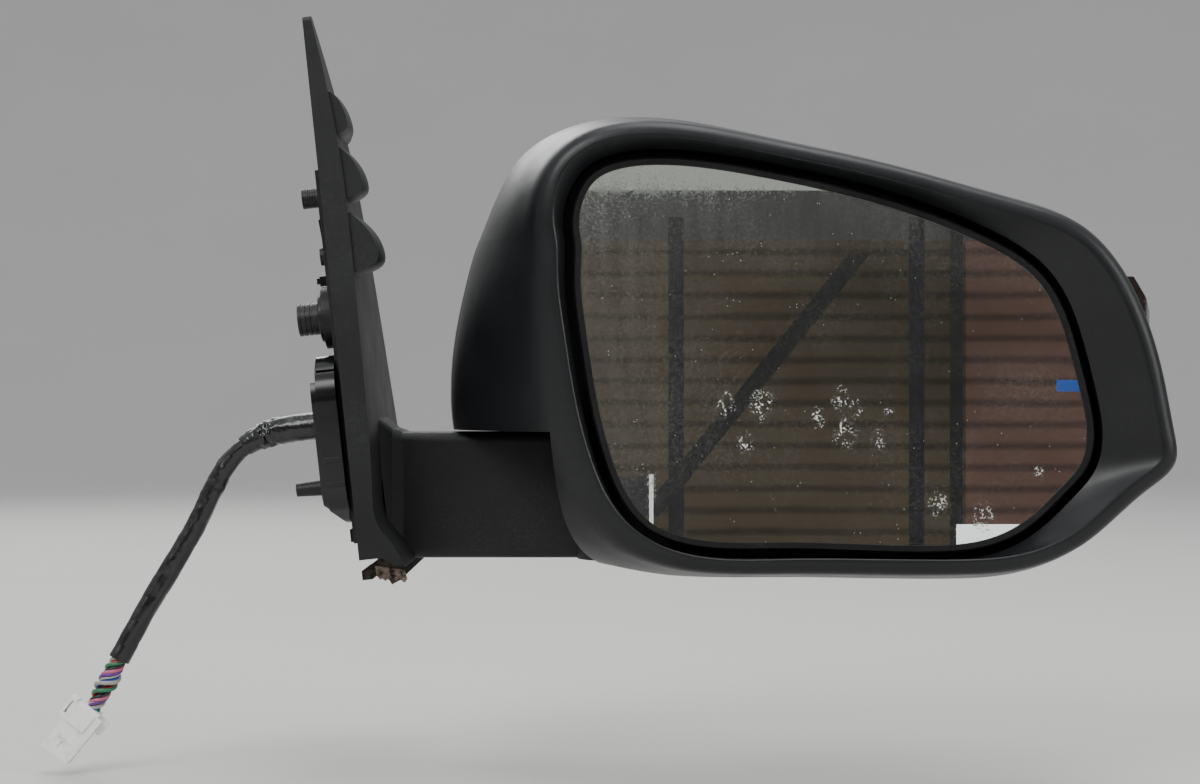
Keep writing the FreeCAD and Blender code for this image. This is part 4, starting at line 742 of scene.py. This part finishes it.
def make_card():
    """Glowing panels behind the camera that only glossy rays see: a painted reflection of a dark workshop
    wall in the mirror, and painted dark reflections in glossy plastic.
    """
    glass_low, glass_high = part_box("mirror_glass")

    def seen(share_x, share_z):
        """The place on the card that shows at that share of the glass."""
        x = glass_low.x + share_x * (glass_high.x - glass_low.x)
        z = glass_low.z + share_z * (glass_high.z - glass_low.z)
        to_glass = GLASS_Y - CAMERA_AT[1]
        reach = (to_glass + GLASS_Y - CARD_Y) / to_glass
        return CAMERA_AT[0] + (x - CAMERA_AT[0]) * reach, CAMERA_AT[2] + (z - CAMERA_AT[2]) * reach

    def panel(name, corners, colour, ahead, glow=1.0):
        mesh = solid(name, [(x, CARD_Y + ahead, z) for x, z in corners], [(0, 1, 2, 3)])
        mesh.materials.append(plain(name, colour, glow))
        card = placed(name, mesh)
        card.visible_camera = False
        card.visible_diffuse = False
        card.visible_shadow = False
        return card

    def upright(name, across, up, colour, ahead, glow=1.0):
        a, b = seen(across[0], up[0]), seen(across[1], up[1])
        return panel(name, [(a[0], a[1]), (b[0], a[1]), (b[0], b[1]), (a[0], b[1])], colour, ahead, glow)

    # Each panel glows in its own colour, so the wall, window, posts and crate are painted reflections, not
    # lit things.
    wall = (0.070, 0.056, 0.036)
    red = (0.15, 0.085, 0.065)
    ribbed(upright("card_wall", (-2.2, 2.4), (-0.5, 2.6), wall, 0.0), wall)
    ribbed(upright("card_red", (0.76, 1.5), (0.05, 0.80), red, 4 * MM), red)
    upright("card_eaves", (-0.6, 1.6), (0.80, 0.95), (0.020, 0.021, 0.020), 8 * MM)
    upright("card_sky", (-0.6, 0.55), (0.93, 1.5), (0.20, 0.21, 0.19), 12 * MM)
    for number, across in enumerate([(0.175, 0.205), (0.645, 0.675), (0.725, 0.750)]):
        upright(f"card_post_{number}", across, (-0.3, 0.86), CARD_DARK, 16 * MM)
    foot, head = seen(0.135, 0.08), seen(0.545, 0.76)
    half = 10 * MM
    panel("card_brace", [(foot[0] - half, foot[1]), (foot[0] + half, foot[1]), (head[0] + half, head[1]),
                         (head[0] - half, head[1])], CARD_DARK, 20 * MM)
    upright("card_window", (0.735, 0.93), (-0.2, 0.060), (0.9, 0.92, 0.95), 24 * MM, 0.9)
    upright("card_blue", (0.93, 1.02), (0.405, 0.435), (0.01, 0.05, 0.22), 24 * MM)
    upright("card_crate", (0.06, 0.140), (0.085, 0.185), (0.010, 0.010, 0.011), 22 * MM)
    upright("card_label", (0.137, 0.145), (0.05, 0.190), (0.55, 0.56, 0.55), 24 * MM)


def ribbed(card, colour):
    """Turns a card's glow into level ribs with soft blotches: a painted reflection of a ribbed, stained
    wall.
    """
    f = Finish(card.name + "_ribs")
    ribs = f.bands(RIB_PITCH, Distortion=0.6, Detail=1.0)
    shade = f.times(f.spread(ribs, 0.0, 0.5, 0.5, 1.0), f.cloud(0.35, 0.3, 0.7, 0.5, 1.25))
    f.wear(Base_Color=(0, 0, 0, 1), Roughness=1.0, Emission_Strength=1.0)
    f.wear(Emission_Color=f.colour(shade, (0, 0, 0), colour))
    card.data.materials[0] = f.material


def make_lights():
    """Soft boxes above and beside the object, and a pale sky."""
    world = bpy.data.worlds.new("studio_sky")
    world.use_nodes = True
    world.node_tree.nodes["Background"].inputs["Color"].default_value = (0.86, 0.88, 0.90, 1.0)
    world.node_tree.nodes["Background"].inputs["Strength"].default_value = 0.85
    bpy.context.scene.world = world
    aim = Vector((0.15, 0.0, -0.02))
    boxes = [("key", (-0.75, -1.35, 1.15), 0.9, 22.0), ("top", (0.35, -0.1, 1.75), 1.3, 22.0),
             ("right", (1.75, -1.0, 0.55), 0.8, 12.0), ("back", (-0.6, 1.7, 1.2), 1.2, 20.0)]
    for name, place, size, power in boxes:
        light = bpy.data.lights.new("light_" + name, "AREA")
        light.shape = "SQUARE"
        light.size = size
        light.energy = power
        lamp = placed("light_" + name, light)
        lamp.location = place
        lamp.rotation_euler = (aim - Vector(place)).to_track_quat("-Z", "Y").to_euler()


def make_camera():
    data = bpy.data.cameras.new("camera")
    data.lens = CAMERA_LENS
    data.sensor_width = CAMERA_SENSOR
    data.clip_end = 50.0
    camera = placed("camera", data)
    camera.location = CAMERA_AT
    camera.rotation_euler = (math.pi / 2, 0.0, 0.0)
    bpy.context.scene.camera = camera


random.seed(7)
make_camera()
make_harness()
dress_nodes()
make_washer()
make_mould_marks()
make_torn_foam()
make_floor()
make_card()
make_lights()
